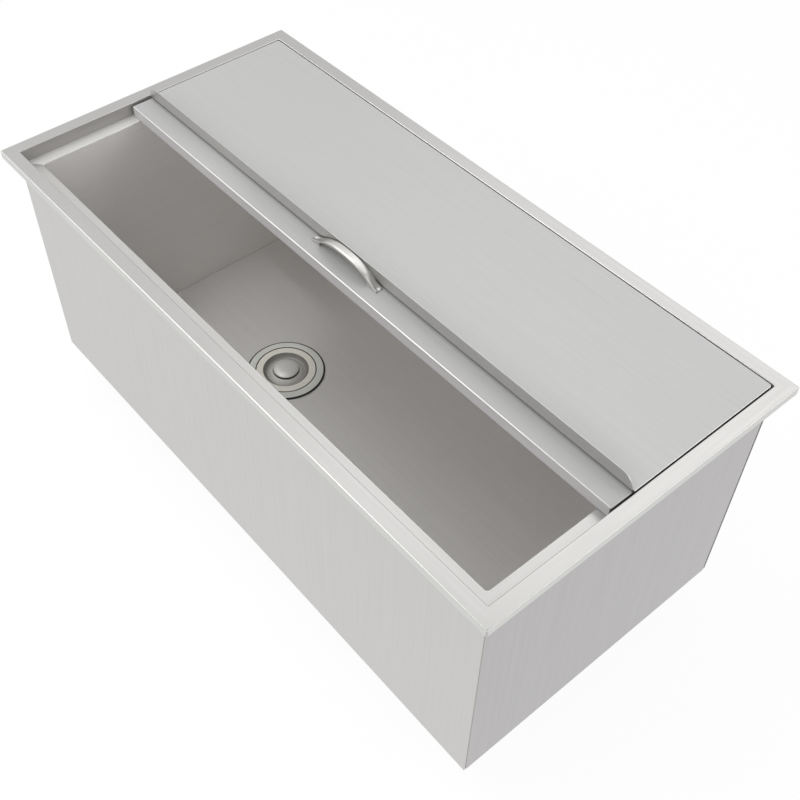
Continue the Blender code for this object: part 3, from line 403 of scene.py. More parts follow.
# Turned nickel: rings left by the lathe, round the drain's middle
turnedFinish = {
    "ringsPerMetre": 1400,
    "patchesPerMetre": 90,
    "cloudy": 0.5,
    "glossSpread": 0.15,               # share of the roughness
    "bump": 0.04,
    "bumpDepth": 0.15 * mm,
    # tone, roughness, share of bare metal and strength of the rings
    "satin": ((0.80, 0.81, 0.765), 0.45, 0.1, 0.04),
    "beige": ((0.94, 0.92, 0.84), 0.45, 0.1, 0.04),
    "bowl": ((0.70, 0.69, 0.655), 0.55, 0.3, 0.04),
    # painted shade: a dark nickel for the step into the bowl, round the knob's edge and under the knob
    "step": ((0.26, 0.25, 0.22), 0.50, 0.7, 0.04),
    "knob": ((0.86, 0.85, 0.82), 0.55, 0.5, 0.05),
    "cast": ((0.57, 0.565, 0.53), 0.42, 1.0, 0.05),
    # painted shade: the bowl keeps its tone near the knob and is painted darker towards its edge, between
    # these radii
    "paintedBowlShade": (22.5 * mm, 30 * mm),
    "bowlShadeShare": 0.45,
}


def turnedNickel(name, look, paintedBowlShade=False, finish=turnedFinish):
    tone, roughness, metal, contrast = finish[look]
    material, tree, place = newMaterial(name)
    fromMiddle = addNode(tree, "ShaderNodeVectorMath", {0: place, 1: drainPlace}, operation="SUBTRACT")
    parts = addNode(tree, "ShaderNodeSeparateXYZ", {0: fromMiddle}).outputs
    flat = vectorOf(tree, x=parts[0], y=parts[1])
    radius = addNode(tree, "ShaderNodeVectorMath", {0: flat}, operation="LENGTH").outputs["Value"]
    rings = noiseAt(tree, vectorOf(tree, x=radius, y=parts[2]), finish["ringsPerMetre"], 3)
    patches = noiseAt(tree, fromMiddle, finish["patchesPerMetre"], 2)
    color = mixTones(tree, rangeOf(tree, patches, 0, finish["cloudy"]),
                     markTone(tree, rings, tone, contrast), shaded(tone, 1 - contrast / 2))
    # painted shade towards the bowl's edge
    if paintedBowlShade:
        color = mixTones(tree, rangeOf(tree, radius, 0, 1, *finish["paintedBowlShade"]), color,
                         shaded(tone, finish["bowlShadeShare"]))
    spread = finish["glossSpread"]
    gloss = rangeOf(tree, rings, roughness * (1 + spread), roughness * (1 - spread))
    return finishMaterial(material, color, gloss, metal, rings, finish["bump"], finish["bumpDepth"])


satinRing, beigeRing = turnedNickel("satinRing", "satin"), turnedNickel("beigeRing", "beige")
bowlNickel = turnedNickel("bowlNickel", "bowl", paintedBowlShade=True)
paintedShadeNickel, knobNickel, castNickel = (
    turnedNickel(look + "Nickel", look) for look in ("step", "knob", "cast"))


# Bow handle: satin nickel rubbed along its length
handleFinish = {
    "tone": (0.56, 0.553, 0.532),
    "contrast": 0.04,
    "roughness": 0.32,
    "glossSpread": 0.04,
    "linesPerMetre": 1800,
    "stretch": (0.03, 1, 0.4),
    "wearPerMetre": 60,
    "bump": 0.03,
    "bumpDepth": 0.15 * mm,
}


def rubbedNickel(name, finish=handleFinish):
    material, tree, place = newMaterial(name)
    lines = noiseAt(tree, place, finish["linesPerMetre"], 2, finish["stretch"])
    wear = noiseAt(tree, place, finish["wearPerMetre"], 2)
    color = markTone(tree, lines, finish["tone"], finish["contrast"])
    roughness, spread = finish["roughness"], finish["glossSpread"]
    gloss = rangeOf(tree, wear, roughness - spread, roughness + spread)
    return finishMaterial(material, color, gloss, 1.0, lines, finish["bump"], finish["bumpDepth"])


handleNickel = rubbedNickel("handleNickel")


# Plain materials that aren't steel, each with its own grain
softFinish = {
    "patchesPerMetre": 25,
    "patchStart": (0.4, 0.2, 0.1),
    "glossSpread": 0.06,
    # low and high tone, roughness, grains per metre, their detail and stretch, bump and its depth
    "foamBoard": ((0.78, 0.69, 0.46), (0.90, 0.84, 0.66), 0.92, 700, 3, (1, 1, 1), 0.5, 0.5 * mm),
    "blackRubber": ((0.014, 0.014, 0.014), (0.035, 0.034, 0.033), 0.62, 900, 4, (1, 1, 1), 0.12, 0.2 * mm),
    "pressedFibre": ((0.27, 0.16, 0.09), (0.46, 0.30, 0.18), 0.86, 900, 5, (0.25, 1, 1), 0.3, 0.2 * mm),
    "mouldedNylon": ((0.74, 0.74, 0.71), (0.82, 0.82, 0.80), 0.45, 300, 2, (1, 0.3, 1), 0.08, 0.1 * mm),
}


def grainyMaterial(name, finish=softFinish):
    low, high, roughness, grainsPerMetre, detail, stretch, bump, depth = finish[name]
    material, tree, place = newMaterial(name)
    grains = noiseAt(tree, place, grainsPerMetre, detail, stretch)
    patches = noiseAt(tree, place, finish["patchesPerMetre"], 2, offset=finish["patchStart"])
    color = mixTones(tree, rangeOf(tree, calc(tree, "ADD", grains, patches), 0, 1, 0.7, 1.3), low, high)
    spread = finish["glossSpread"]
    gloss = rangeOf(tree, grains, roughness - spread, roughness + spread)
    return finishMaterial(material, color, gloss, 0.0, grains, bump, depth)


foamBoard, blackRubber, pressedFibre, mouldedNylon = (
    grainyMaterial(name) for name in ("foamBoard", "blackRubber", "pressedFibre", "mouldedNylon"))
print("materials made:", len(bpy.data.materials))


# Geometry Nodes

def newTree(name, **sockets):
    # every tree is given a piece and a material, beside its own inputs
    tree = bpy.data.node_groups.new(name, "GeometryNodeTree")
    for way in ("INPUT", "OUTPUT"):
        tree.interface.new_socket("geometry", in_out=way, socket_type="NodeSocketGeometry")
    for label, kind in {**sockets, "material": "Material"}.items():
        tree.interface.new_socket(label, in_out="INPUT", socket_type="NodeSocket" + kind)
    return tree, addNode(tree, "NodeGroupInput").outputs


def endTree(tree, geometry, material):
    real = addNode(tree, "GeometryNodeRealizeInstances", {0: geometry})
    dressed = addNode(tree, "GeometryNodeSetMaterial", {"Geometry": real, "Material": material})
    addNode(tree, "NodeGroupOutput", {0: dressed})
    return tree


def grown(thing, tree, **values):
    # run a tree on a piece and keep its result as the piece's plain mesh
    modifier = thing.modifiers.new(tree.name, "NODES")
    modifier.node_group = tree
    for socket in tree.interface.items_tree:
        if socket.name in values:
            modifier[socket.identifier] = values[socket.name]
    return settle(thing)


def ringPoints(tree, count, radius, height, turn):
    # points round Z, and the turn that makes a copy at each one face outwards
    circle = addNode(tree, "GeometryNodeMeshCircle", {"Vertices": count, "Radius": radius})
    placed = addNode(tree, "GeometryNodeTransform", {"Geometry": circle, "Rotation": vectorOf(tree, z=turn),
                                                     "Translation": vectorOf(tree, z=height)})
    spot = addNode(tree, "ShaderNodeSeparateXYZ", {0: addNode(tree, "GeometryNodeInputPosition")}).outputs
    facing = vectorOf(tree, z=calc(tree, "ARCTAN2", spot[1], spot[0]))
    return placed, addNode(tree, "FunctionNodeEulerToRotation", {0: facing})


def slotRingTree():
    # cuts a ring of round-ended slots, through a wall or, tilted, through a floor
    tree, given = newTree("slotRing", count="Int", radius="Float", height="Float", turn="Float",
                          width="Float", length="Float", depth="Float", endRadius="Float", tilt="Float")
    outline = addNode(tree, "GeometryNodeCurvePrimitiveQuadrilateral",
                      {"Width": given["width"], "Height": given["length"]})
    rounded = addNode(tree, "GeometryNodeFilletCurve", {"Curve": outline, "Radius": given["endRadius"],
                                                        "Count": 6, "Limit Radius": True}, mode="POLY")
    half = calc(tree, "MULTIPLY", given["depth"], 0.5)
    near, far = vectorOf(tree, z=calc(tree, "MULTIPLY", half, -1.0)), vectorOf(tree, z=half)
    axle = addNode(tree, "GeometryNodeCurvePrimitiveLine", {"Start": near, "End": far})
    prism = addNode(tree, "GeometryNodeCurveToMesh",
                    {"Curve": axle, "Profile Curve": rounded, "Fill Caps": True})
    # the prism pierces along Z with its length on Y; stood up it pierces along X with its length on Z
    standing = addNode(tree, "GeometryNodeTransform", {"Geometry": prism, "Rotation": (quarter, 0, quarter)})
    tilted = addNode(tree, "GeometryNodeTransform",
                     {"Geometry": standing, "Rotation": vectorOf(tree, y=given["tilt"])})
    points, facing = ringPoints(tree, given["count"], given["radius"], given["height"], given["turn"])
    copies = addNode(tree, "GeometryNodeInstanceOnPoints",
                     {"Points": points, "Instance": tilted, "Rotation": facing})
    cutters = addNode(tree, "GeometryNodeRealizeInstances", {0: copies})
    sliced = addNode(tree, "GeometryNodeMeshBoolean", {"Mesh 1": given["geometry"], "Mesh 2": cutters},
                     operation="DIFFERENCE", solver="EXACT")
    return endTree(tree, sliced, given["material"])


def threadTree():
    # one unbroken ridge wound down a barrel
    tree, given = newTree("thread", radius="Float", turns="Float", drop="Float", ridge="Float")
    helix = addNode(tree, "GeometryNodeCurveSpiral",
                    {"Resolution": 72, "Rotations": given["turns"], "Start Radius": given["radius"],
                     "End Radius": given["radius"], "Height": given["drop"]})
    upright = addNode(tree, "GeometryNodeSetCurveNormal", {"Curve": helix})
    upright.mode = "Z_UP"
    ridge = addNode(tree, "GeometryNodeCurvePrimitiveCircle", {"Resolution": 4, "Radius": given["ridge"]})
    wound = addNode(tree, "GeometryNodeCurveToMesh",
                    {"Curve": upright, "Profile Curve": ridge, "Fill Caps": True})
    return endTree(tree, wound, given["material"])


def rowTree():
    # copies of a piece in a straight row
    tree, given = newTree("row", count="Int", start="Vector", step="Vector")
    line = addNode(tree, "GeometryNodeMeshLine", {"Count": given["count"], "Start Location": given["start"],
                                                  "Offset": given["step"]}, mode="OFFSET")
    copies = addNode(tree, "GeometryNodeInstanceOnPoints", {"Points": line, "Instance": given["geometry"]})
    return endTree(tree, copies, given["material"])


def spokesTree():
    # copies of a piece round Z, each turned to face outwards
    tree, given = newTree("spokes", count="Int", radius="Float", turn="Float")
    points, facing = ringPoints(tree, given["count"], given["radius"], 0.0, given["turn"])
    copies = addNode(tree, "GeometryNodeInstanceOnPoints",
                     {"Points": points, "Instance": given["geometry"], "Rotation": facing})
    return endTree(tree, copies, given["material"])


slotRing, thread, row, spokes = slotRingTree(), threadTree(), rowTree(), spokesTree()
print("node trees made:", len(bpy.data.node_groups))


# Rim: flange with a down-turned lip, recess wall, ledge and the edge that drops into the tub
rim = {
    "flangeWidth": 18.5 * mm,
    "recessDepth": 18.6 * mm,
    "ledgeWidth": 19 * mm,
    "foldRadius": 0.7 * mm,
    "outerCorner": 1 * mm,
    "recessCorner": 2 * mm,
    "mouthCorner": 4 * mm,
    "slitWidth": 2 * mm,
    "slitBelow": 1.2 * mm,             # from the flange's top
}
ledgeZ = rimHigh.z - rim["recessDepth"]
tubInset = rim["flangeWidth"] + rim["ledgeWidth"]


def cornerSlits(halfX, halfY, radius, low, top, width, middle=(0, 0)):
    # cutters that part a folded lip at its four corners
    reach = radius + sheet
    slits = []
    for sideX in (1, -1):
        for sideY in (1, -1):
            slit = box((-reach, -width / 2, low - 2 * sheet), (reach, width / 2, top))
            place = (middle[0] + sideX * (halfX - radius / 2), middle[1] + sideY * (halfY - radius / 2), 0)
            slits.append(moved(slit, place, math.atan2(sideY, sideX)))
    return slits


def onFold(normal, flattest=0.99, steepest=0.12):
    # a face that turns from a sheet's top to its side
    return steepest < normal.z < flattest


def rimCorner(inset):
    # the corner's radius grows across the flange, then across the ledge
    if inset < rim["flangeWidth"]:
        return rim["outerCorner"] + (rim["recessCorner"] - rim["outerCorner"]) * inset / rim["flangeWidth"]
    across = (inset - rim["flangeWidth"]) / rim["ledgeWidth"]
    return rim["recessCorner"] + (rim["mouthCorner"] - rim["recessCorner"]) * across


def makeRim():
    half = sheet / 2
    wall = rim["flangeWidth"] - half
    path = [(half, 0), (half, rimHigh.z - half), (wall, rimHigh.z - half), (wall, ledgeZ - half),
            (tubInset - half, ledgeZ - half), (tubInset - half, rimLow.z)]
    left, right = foldedSection(path, sheet, rim["foldRadius"])
    rings = [roundedRing(halfLength - inset, halfWidth - inset, rimCorner(inset), z)
             for inset, z in left + right[::-1]]
    piece = newThing("rimFrame", loft(rings, closed=True))
    cut(piece, cornerSlits(halfLength, halfWidth, rim["outerCorner"], 0, rimHigh.z - rim["slitBelow"],
                           rim["slitWidth"]))
    looks = list(rimSteel)

    def look(centre, normal):
        # which strip of the sheet a face is on, and whether it is past the corner's mitre
        sideways = abs(centre.x) - halfLength > abs(centre.y) - halfWidth
        inset = -max(abs(centre.x) - halfLength, abs(centre.y) - halfWidth)
        outer = inset < 2 * sheet or (inset > tubInset - 2 * sheet and centre.z < ledgeZ)
        # painted highlight on the outer folds
        if outer and onFold(normal):
            strip = "fold"
        elif centre.z > rimHigh.z - rim["foldRadius"] - sheet / 2:
            strip = "flange"
        elif inset < sheet / 2:
            strip = "lip"
        # painted shade on the recess wall
        elif inset < rim["flangeWidth"] + rim["foldRadius"]:
            strip = "recess"
        elif centre.z > ledgeZ - rim["foldRadius"]:
            # painted light on the left ledge, against the recess wall's shadow
            strip = "leftLedge" if sideways and centre.x < 0 else "ledge"
        else:
            strip = "tub"
        return looks.index(strip + ("Y" if sideways else "X"))

    paint(piece, *rimSteel.values(), rule=look)
    return hand(smoothed(piece, 40), "chest", "brushed_steel", "rim_frame")


makeRim()


# Tub: one-piece liner, butt-welded to the rim's edge, with a hole for the drain
tub = {"corner": 4 * mm, "fillet": 2.5 * mm, "drainHole": 44.9 * mm}


def rod(radius, low, high, steps=96):
    return turned([(0, low), (radius, low), (radius, high), (0, high)], steps, solid=True)


def roundHole(radius, low, high, place):
    return moved(rod(radius, low, high), (place.x, place.y, 0))


def makeTub():
    half = sheet / 2
    wall = tubInset - half
    # the weld to the rim is dressed flush, so the wall runs up to the rim's edge
    path = [(wall, rimLow.z), (wall, floorZ - half), (wall + tub["corner"] + tub["fillet"], floorZ - half)]
    left, right = foldedSection(path, sheet, tub["fillet"], 10, softStart=False)
    rings = [roundedRing(halfLength - inset, halfWidth - inset, tub["corner"], z)
             for inset, z in right[::-1] + left]
    piece = newThing("tubLiner", loft(rings, closed=False))
    cut(piece, [roundHole(tub["drainHole"], tubLow.z - sheet, floorZ + sheet, drainPlace)])

    def look(centre, normal):
        # painted shade: the bends above the floor are painted a little darker than the brushed walls and
        # floor
        if onFold(normal, flattest=0.95):
            return 2
        return 1 if abs(normal.x) > 0.7 else 0

    paint(piece, rimSteel["tubX"], rimSteel["tubY"], tubBendSteel, rule=look)
    return hand(smoothed(piece, 40), "chest", "tub_steel", "tub_liner")


makeTub()
print("rim and tub made")


# Lid: skin with down-turned lips, over the foam and pan that stay as they are
lid = {"foldRadius": 0.8 * mm, "corner": 1.5 * mm, "slitWidth": 0.9 * mm, "screwHole": 2.3 * mm,
       "holeSpacing": 96 * mm}
handleX, handleY = (handleLow.x + handleHigh.x) / 2, (handleLow.y + handleHigh.y) / 2
screwPlaces = [Vector((handleX + side * lid["holeSpacing"] / 2, handleY, 0)) for side in (-1, 1)]


def makeLidSkin():
    half = sheet / 2
    halfX = lidHigh.x
    halfY = (lidHigh.y - lidLow.y) / 2
    middle = (0, (lidHigh.y + lidLow.y) / 2)
    plateInset = lid["corner"] + lid["foldRadius"] + sheet
    path = [(half, lidLow.z), (half, lidHigh.z - half), (plateInset, lidHigh.z - half)]
    left, right = foldedSection(path, sheet, lid["foldRadius"], 8)
    rings = [roundedRing(halfX - inset, halfY - inset, lid["corner"], z, middle)
             for inset, z in right[::-1] + left]
    piece = newThing("lidSkin", loft(rings, closed=False))
    cut(piece, cornerSlits(halfX, halfY, lid["corner"], lidLow.z, lidHigh.z - lid["foldRadius"] - sheet,
                           lid["slitWidth"], middle))
    cut(piece, [roundHole(lid["screwHole"], lidLow.z, lidHigh.z + sheet, place) for place in screwPlaces])
    lipTop = lidHigh.z - lid["foldRadius"] - half

    def look(centre, normal):
        # painted shade, nearly black, inside and on the end lips, which ride in the rim; painted highlight on
        # the top folds
        if normal.z < -0.3 or (centre.z < lipTop and abs(centre.x) > halfX - 2 * sheet):
            return 3
        return 2 if centre.z < lipTop else 1 if onFold(normal) else 0

    paint(piece, lidSteel, rimSteel["foldX"], lidLipSteel, paintedDeepShadeSteel, rule=look)
    return hand(smoothed(piece, 40), "sliding_lid", "brushed_steel", "lid_skin")


makeLidSkin()


# Rear cover: flush plate on end and back lips, whose front edge folds up to a round-cornered upstand
cover = {
    "foldRadius": 0.6 * mm,
    "corner": 3.5 * mm,
    "upstandCorner": 17.2 * mm,
    "upstandBend": 1.1 * mm,
    "upstandLeft": 0.5 * mm,           # how far the upstand's ends lie inside the plate's
    "upstandRight": 2.5 * mm,
}


def makeCover():
    half = sheet / 2
    topZ = rimHigh.z
    halfX = coverHigh.x
    halfY = (coverHigh.y - coverLow.y) / 2
    middleY = (coverHigh.y + coverLow.y) / 2
    plateInset = cover["corner"] + cover["foldRadius"] + sheet
    frontRun = coverLow.y + sheet + cover["foldRadius"]
    path = [(half, coverLow.z), (half, topZ - half), (plateInset, topZ - half)]
    left, right = foldedSection(path, sheet, cover["foldRadius"], 8)
    rings = [roundedRing(halfX - inset, halfY + plateInset - inset, cover["corner"], z,
                         (0, middleY - plateInset)) for inset, z in right[::-1] + left]
    piece = newThing("coverPanel", loft(rings, closed=False))
    cut(piece, [box((-halfX - sheet, coverLow.y - 4 * plateInset, coverLow.z - sheet),
                    (halfX + sheet, frontRun, topZ + sheet))])

    face = coverLow.y + half
    path = [(frontRun + sheet, topZ - half), (face, topZ - half), (face, coverHigh.z)]
    left, right = foldedSection(path, sheet, cover["upstandBend"], 8, softStart=False, softEnd=True)
    leftSpan, rightSpan = halfX - cover["upstandLeft"], halfX - cover["upstandRight"]
    bar = extruded(left + right[::-1], yAxis, zAxis, Vector((leftSpan + rightSpan, 0, 0)))
    upstand = newThing("upstand", moved(bar, (-leftSpan, 0, 0)))
    radius, topEdge = cover["upstandCorner"], coverHigh.z
    trims = []
    for side, span in ((-1, leftSpan), (1, rightSpan)):
        outline = [(span + sheet, topEdge - radius), (span + sheet, topEdge + sheet),
                   (span - radius, topEdge + sheet)]
        outline += arcRow((span - radius, topEdge - radius), radius, 1, 0, 24)
        trim = extruded(outline, Vector((side, 0, 0)), zAxis, 4 * sheet * yAxis)
        trims.append(moved(trim, (0, coverLow.y - sheet, 0)))
    cut(upstand, trims)
    cut(piece, [taken(upstand)], "UNION")

    def look(centre, normal):
        # painted shade, nearly black, underneath and on the lips, then the upstand, then painted highlight on
        # the folds at the back and right
        atLeft = centre.x < -halfX + 2 * sheet
        if normal.z < -0.05 or (centre.z < topZ - cover["foldRadius"] - half and not atLeft):
            return 3
        if centre.y < frontRun - half:
            return 2
        atEdge = centre.x > halfX - 2 * plateInset or centre.y > coverHigh.y - 2 * plateInset
        return 1 if atEdge and onFold(normal) else 0

    paint(piece, coverSteel, rimSteel["foldX"], upstandSteel, paintedDeepShadeSteel, rule=look)
    return hand(smoothed(piece, 40), "rear_cover", "brushed_steel", "cover_panel")


makeCover()
print("lid skin and cover made")


# Bow handle: flat bow with a raised panel along its middle and a V flute down each foot
handle = {
    "panel": 0.4 * mm,                 # how far the panel stands up from the strap
    "panelEnd": 0.64,                  # places as shares of the half length, from the middle out
    "panelRun": 0.02,
    "footStart": 0.735,
    "footStep": 0.001,
    "fluteStart": 0.675,
    "fluteWidth": 0.9,                 # share of the strap's half width, at the tip
    "fluteSteepness": 0.5,
    "fluteDepth": 0.6,                 # at most, as a share of the strap's thickness
    "edgeDrop": 0.22,
    "underWidth": 0.96,
    "screwDepth": 3.5 * mm,
    "stations": 96,
    # place, and share of the full height or of the half width there
    "topShares": ((0, 1.0), (0.15, 0.99), (0.3, 0.95), (0.45, 0.835), (0.58, 0.685), (0.68, 0.52),
                  (0.76, 0.38), (0.84, 0.265), (0.92, 0.17), (1.0, 0.10)),
    "underShares": ((0, 0.80), (0.2, 0.775), (0.37, 0.70), (0.5, 0.60), (0.6, 0.50), (0.68, 0.39),
                    (0.733, 0.28)),
    "widthShares": ((0, 1.0), (0.3, 0.99), (0.6, 0.97), (0.8, 0.95), (1.0, 0.93)),
    # across half the strap: share of the half width, of the edge's drop, and of the panel's rise
    "section": ((0, 0, 1), (0.15, 0, 1), (0.3, 0, 1), (0.42, 0, 1), (0.54, 0, 1), (0.58, 0, 0.9),
                (0.62, 0, 0.1), (0.66, 0, 0), (0.78, 0, 0), (0.88, 0.06, 0), (0.95, 0.35, 0), (1, 1, 0)),
}


def shareAt(table, place):
    # smooth value between the rows of a share table
    index = max(i for i, line in enumerate(table[:-1]) if line[0] <= place + 1e-9)
    start, end = table[index], table[index + 1]
    span = end[0] - start[0]
    t = (place - start[0]) / span
    slopeIn, slopeOut = 0, (end[1] - start[1]) / span
    if index > 0:
        before = table[index - 1]
        slopeIn = (end[1] - before[1]) / (end[0] - before[0])
    if index + 2 < len(table):
        after = table[index + 2]
        slopeOut = (after[1] - start[1]) / (after[0] - start[0])
    value = ((2 * t ** 3 - 3 * t * t + 1) * start[1] + (t ** 3 - 2 * t * t + t) * span * slopeIn
             + (3 * t * t - 2 * t ** 3) * end[1] + (t ** 3 - t * t) * span * slopeOut)
    return max(value, min(start[1], end[1]))


def makeHandle():
    h = handle
    halfSpan = (handleHigh.x - handleLow.x) / 2
    halfStrap = (handleHigh.y - handleLow.y) / 2
    height = handleHigh.z - handleLow.z
    section = [(-across, drop, raised) for across, drop, raised in h["section"][:0:-1]] + list(h["section"])
    reaches = sorted([station / h["stations"] for station in range(1, h["stations"] + 1)]
                     + [h["footStart"] - h["footStep"], h["footStart"] + h["footStep"]])
    rings = []
    for place in [-reach for reach in reversed(reaches)] + [0] + reaches:
        reach = abs(place)
        top = height * shareAt(h["topShares"], reach)
        under = height * shareAt(h["underShares"], reach) if reach < h["footStart"] else 0
        half = halfStrap * shareAt(h["widthShares"], reach)
        edgeDrop = min(top - under, halfStrap) * h["edgeDrop"]
        panel = h["panel"] * min(max((h["panelEnd"] - reach) / h["panelRun"] + 1, 0), 1)
        width = h["fluteWidth"] * max(reach - h["fluteStart"], 0) / (1 - h["fluteStart"])
        flute = min(h["fluteSteepness"] * width * half, h["fluteDepth"] * (top - under))
        ring = [(-h["underWidth"], under)]
        for across, drop, raised in section:
            level = top - h["panel"] - edgeDrop * drop + panel * raised
            if abs(across) < width:
                level -= flute * (1 - abs(across) / width)
            ring.append((across, level))
        ring.append((h["underWidth"], under))
        rings.append([Vector((handleX + place * halfSpan, handleY + half * across, handleLow.z + level))
                      for across, level in ring])
    piece = newThing("bowHandle", loft(rings, closed=False))
    cut(piece, [roundHole(lid["screwHole"], handleLow.z - sheet, handleLow.z + h["screwDepth"], place)
                for place in screwPlaces])
    paint(piece, handleNickel)
    return hand(smoothed(piece, 50), "sliding_lid", "satin_nickel", "bow_handle")


makeHandle()


# Handle screws, seen from below the lid: pan heads with a cross recess
screw = {
    "radius": 2 * mm,
    "headRadius": 3.8 * mm,
    "headHeight": 2.2 * mm,
    "crownSteps": 6,
    "crownPower": 0.6,
    "recess": 0.9 * mm,
    "recessShare": 0.6,
}


def makeScrews():
    low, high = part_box("handle_screw_left")
    radius, headZ = screw["headRadius"], low.z + screw["headHeight"]
    angles = [quarter * step / screw["crownSteps"] for step in range(screw["crownSteps"])]
    crown = [(radius * math.sin(angle), headZ - screw["headHeight"] * math.cos(angle) ** screw["crownPower"])
             for angle in angles]
    shank = [(radius, headZ), (screw["radius"], headZ), (screw["radius"], high.z), (0, high.z)]
    piece = newThing("handleScrews", turned(crown + shank, 32, solid=True))
    reach, half = radius * screw["recessShare"], screw["recess"] / 2
    cut(piece, [moved(box((-reach, -half, low.z - sheet), (reach, half, low.z + sheet)), turn=turn)
                for turn in (0, quarter)])
    grown(smoothed(piece, 40), row, count=2, start=screwPlaces[0], step=(lid["holeSpacing"], 0, 0),
          material=handleNickel)
    return hand(piece, "sliding_lid", "satin_nickel", "handle_screw_left", "handle_screw_right")


makeScrews()


# Glides under the lid's four corners, soft at their lower edges
glide = {"soft": 1 * mm, "steps": 5}


def makeGlides():
    low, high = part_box("lid_glide_front_left")
    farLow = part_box("lid_glide_back_right")[0]
    halfX, halfY = (high.x - low.x) / 2, (high.y - low.y) / 2
    soft, steps = glide["soft"], glide["steps"]
    rings = []
    for step in range(steps + 1):
        angle = quarter * step / steps
        out = soft * math.sin(angle) - soft
        rings.append(roundedRing(halfX + out, halfY + out, soft + soft * step / steps,
                                 low.z + soft - soft * math.cos(angle)))
    rings.append(roundedRing(halfX, halfY, 2 * soft, high.z))
    piece = smoothed(newThing("lidGlides", loft(rings, closed=False)), 40)
    centre = (low + high) / 2
    grown(piece, row, count=2, start=(centre.x, centre.y, 0), step=(farLow.x - low.x, 0, 0),
          material=mouldedNylon)
    grown(piece, row, count=2, step=(0, farLow.y - low.y, 0), material=mouldedNylon)
    return hand(piece, "sliding_lid", "glide_nylon", "lid_glide_front_left", "lid_glide_front_right",
                "lid_glide_back_left", "lid_glide_back_right")


makeGlides()
print("handle, screws and glides made")


# Drain: heights are drawn from the tub's floor
drain = {
    "flangeRadius": 55.5 * mm,
    "flangeUnder": 1.5 * mm,
    "flangeEdge": 0.7 * mm,
    "edgeRun": 1.4 * mm,
    "edgeRise": 0.25 * mm,
    "edgeRound": 0.6 * mm,
    "flangeSlope": 4 * mm,
    "crown": 3.1 * mm,
    "crownRun": 1.5 * mm,
    "crownDrop": 0.12 * mm,
    "seatRadius": 45.2 * mm,
    "seat": 1.8 * mm,
    "mouthRound": 0.8 * mm,
    "cupRadius": 43 * mm,
    "cupWall": 1.5 * mm,
    "cupDepth": 46 * mm,
    "cupFillet": 6 * mm,
    "cupNeck": 8 * mm,                 # plain length above the cup's thread
    "outletRadius": 23.8 * mm,
    "outletWall": 3.5 * mm,
    "outletLength": 18 * mm,
    "outletNeck": 2 * mm,
    "chamfer": 0.4 * mm,
    "threadRidge": 0.6 * mm,
    "threadPitch": 2.4 * mm,
    "threadRunOut": 1 * mm,
    "arms": 4,
    "armThickness": 3 * mm,
    "hubRadius": 6 * mm,
    "stemHole": 3.3 * mm,
    "gap": 0.3 * mm,
}


def atDrain(thing):
    # the piece was drawn round the drain's middle; its mesh goes to its place
    thing.data.transform(Matrix.Translation(drainPlace))
    return thing


def makeStrainerBody():
    d = drain
    edge, edgeTop = d["flangeRadius"], d["flangeUnder"] + d["flangeEdge"]
    slopeTop = edge - d["flangeSlope"]
    soft, mouth, fillet, chamfer = d["edgeRound"], d["mouthRound"], d["cupFillet"], d["chamfer"]
    inside = d["cupRadius"] - d["cupWall"]
    under = -d["cupDepth"] - d["cupWall"]
    outletIn = d["outletRadius"] - d["outletWall"]
    outletEnd = under - d["outletLength"]
    ridge = d["threadRidge"]
    cupRoot, outletRoot = d["cupRadius"] - ridge, d["outletRadius"] - ridge
    # over the flange and down into the cup
    profile = [(edge - chamfer / 2, d["flangeUnder"]), (edge, d["flangeUnder"] + chamfer / 2)]
    profile += arcRow((edge - soft, edgeTop - chamfer), soft, 0, 0.75, 5)
    profile += smoothRow([(edge - d["edgeRun"], edgeTop + d["edgeRise"]),
                          (slopeTop, d["crown"] - d["crownDrop"]), (slopeTop - d["crownRun"], d["crown"])], 5)
    profile += arcRow((d["seatRadius"] + soft, d["crown"] - soft), soft, 1, 2, 5)
    profile += [(d["seatRadius"], d["seat"])]
    profile += arcRow((inside + mouth, d["seat"] - mouth), mouth, 1, 2, 5)
    profile += arcRow((inside - fillet, fillet - d["cupDepth"]), fillet, 0, -1, 10)
    profile += arcRow((outletIn + mouth, -d["cupDepth"] - mouth), mouth, 1, 2, 4)
    # round the outlet's end and up outside
    profile += [(outletIn, outletEnd + chamfer), (outletIn + chamfer, outletEnd),
                (outletRoot - chamfer, outletEnd), (outletRoot, outletEnd + chamfer),
                (outletRoot, under - d["outletNeck"]), (d["outletRadius"], under - d["outletNeck"] + ridge),
                (d["outletRadius"], under)]
    profile += arcRow((cupRoot - fillet, under + fillet), fillet, -1, 0, 10)
    profile += [(cupRoot, -d["cupNeck"]), (d["cupRadius"], ridge - d["cupNeck"]), (d["cupRadius"], -sheet),
                (d["seatRadius"] + d["cupWall"], d["flangeUnder"])]
    piece = newThing("strainerBody", turned(profile, 160))
    # the arms carry a hub under the basket, bored for the stopper's stem
    armTop = -d["cupDepth"] - d["gap"]
    halfArm, halfThick = (outletIn + d["outletWall"]) / 2, d["armThickness"] / 2
    arm = newThing("spiderArm", box((-halfArm, -halfThick, armTop - d["armThickness"]),
                                    (halfArm, halfThick, armTop)))
    grown(arm, spokes, count=d["arms"], radius=outletIn / 2 - sheet, material=castNickel)
    hubLow = armTop - 3 * halfThick
    hub = turned([(0, hubLow), (d["hubRadius"] - soft, hubLow), (d["hubRadius"], hubLow + soft),
                  (d["hubRadius"], armTop), (0, armTop)], 48, solid=True)
    cut(piece, [taken(arm), hub], "UNION")
    cut(piece, [rod(d["stemHole"], hubLow - sheet, armTop + sheet, 32)])

    def look(centre, normal):
        # satin on top, black rubber painted into the groove round the stopper as painted shade, plain cast
        # below
        if centre.z < d["seat"] - chamfer / 4:
            return 1
        return 0 if centre.xy.length > d["seatRadius"] + soft / 2 else 2

    paint(piece, satinRing, castNickel, blackRubber, rule=look)
    return hand(atDrain(smoothed(piece, 35)), "chest", "satin_nickel", "strainer_body")


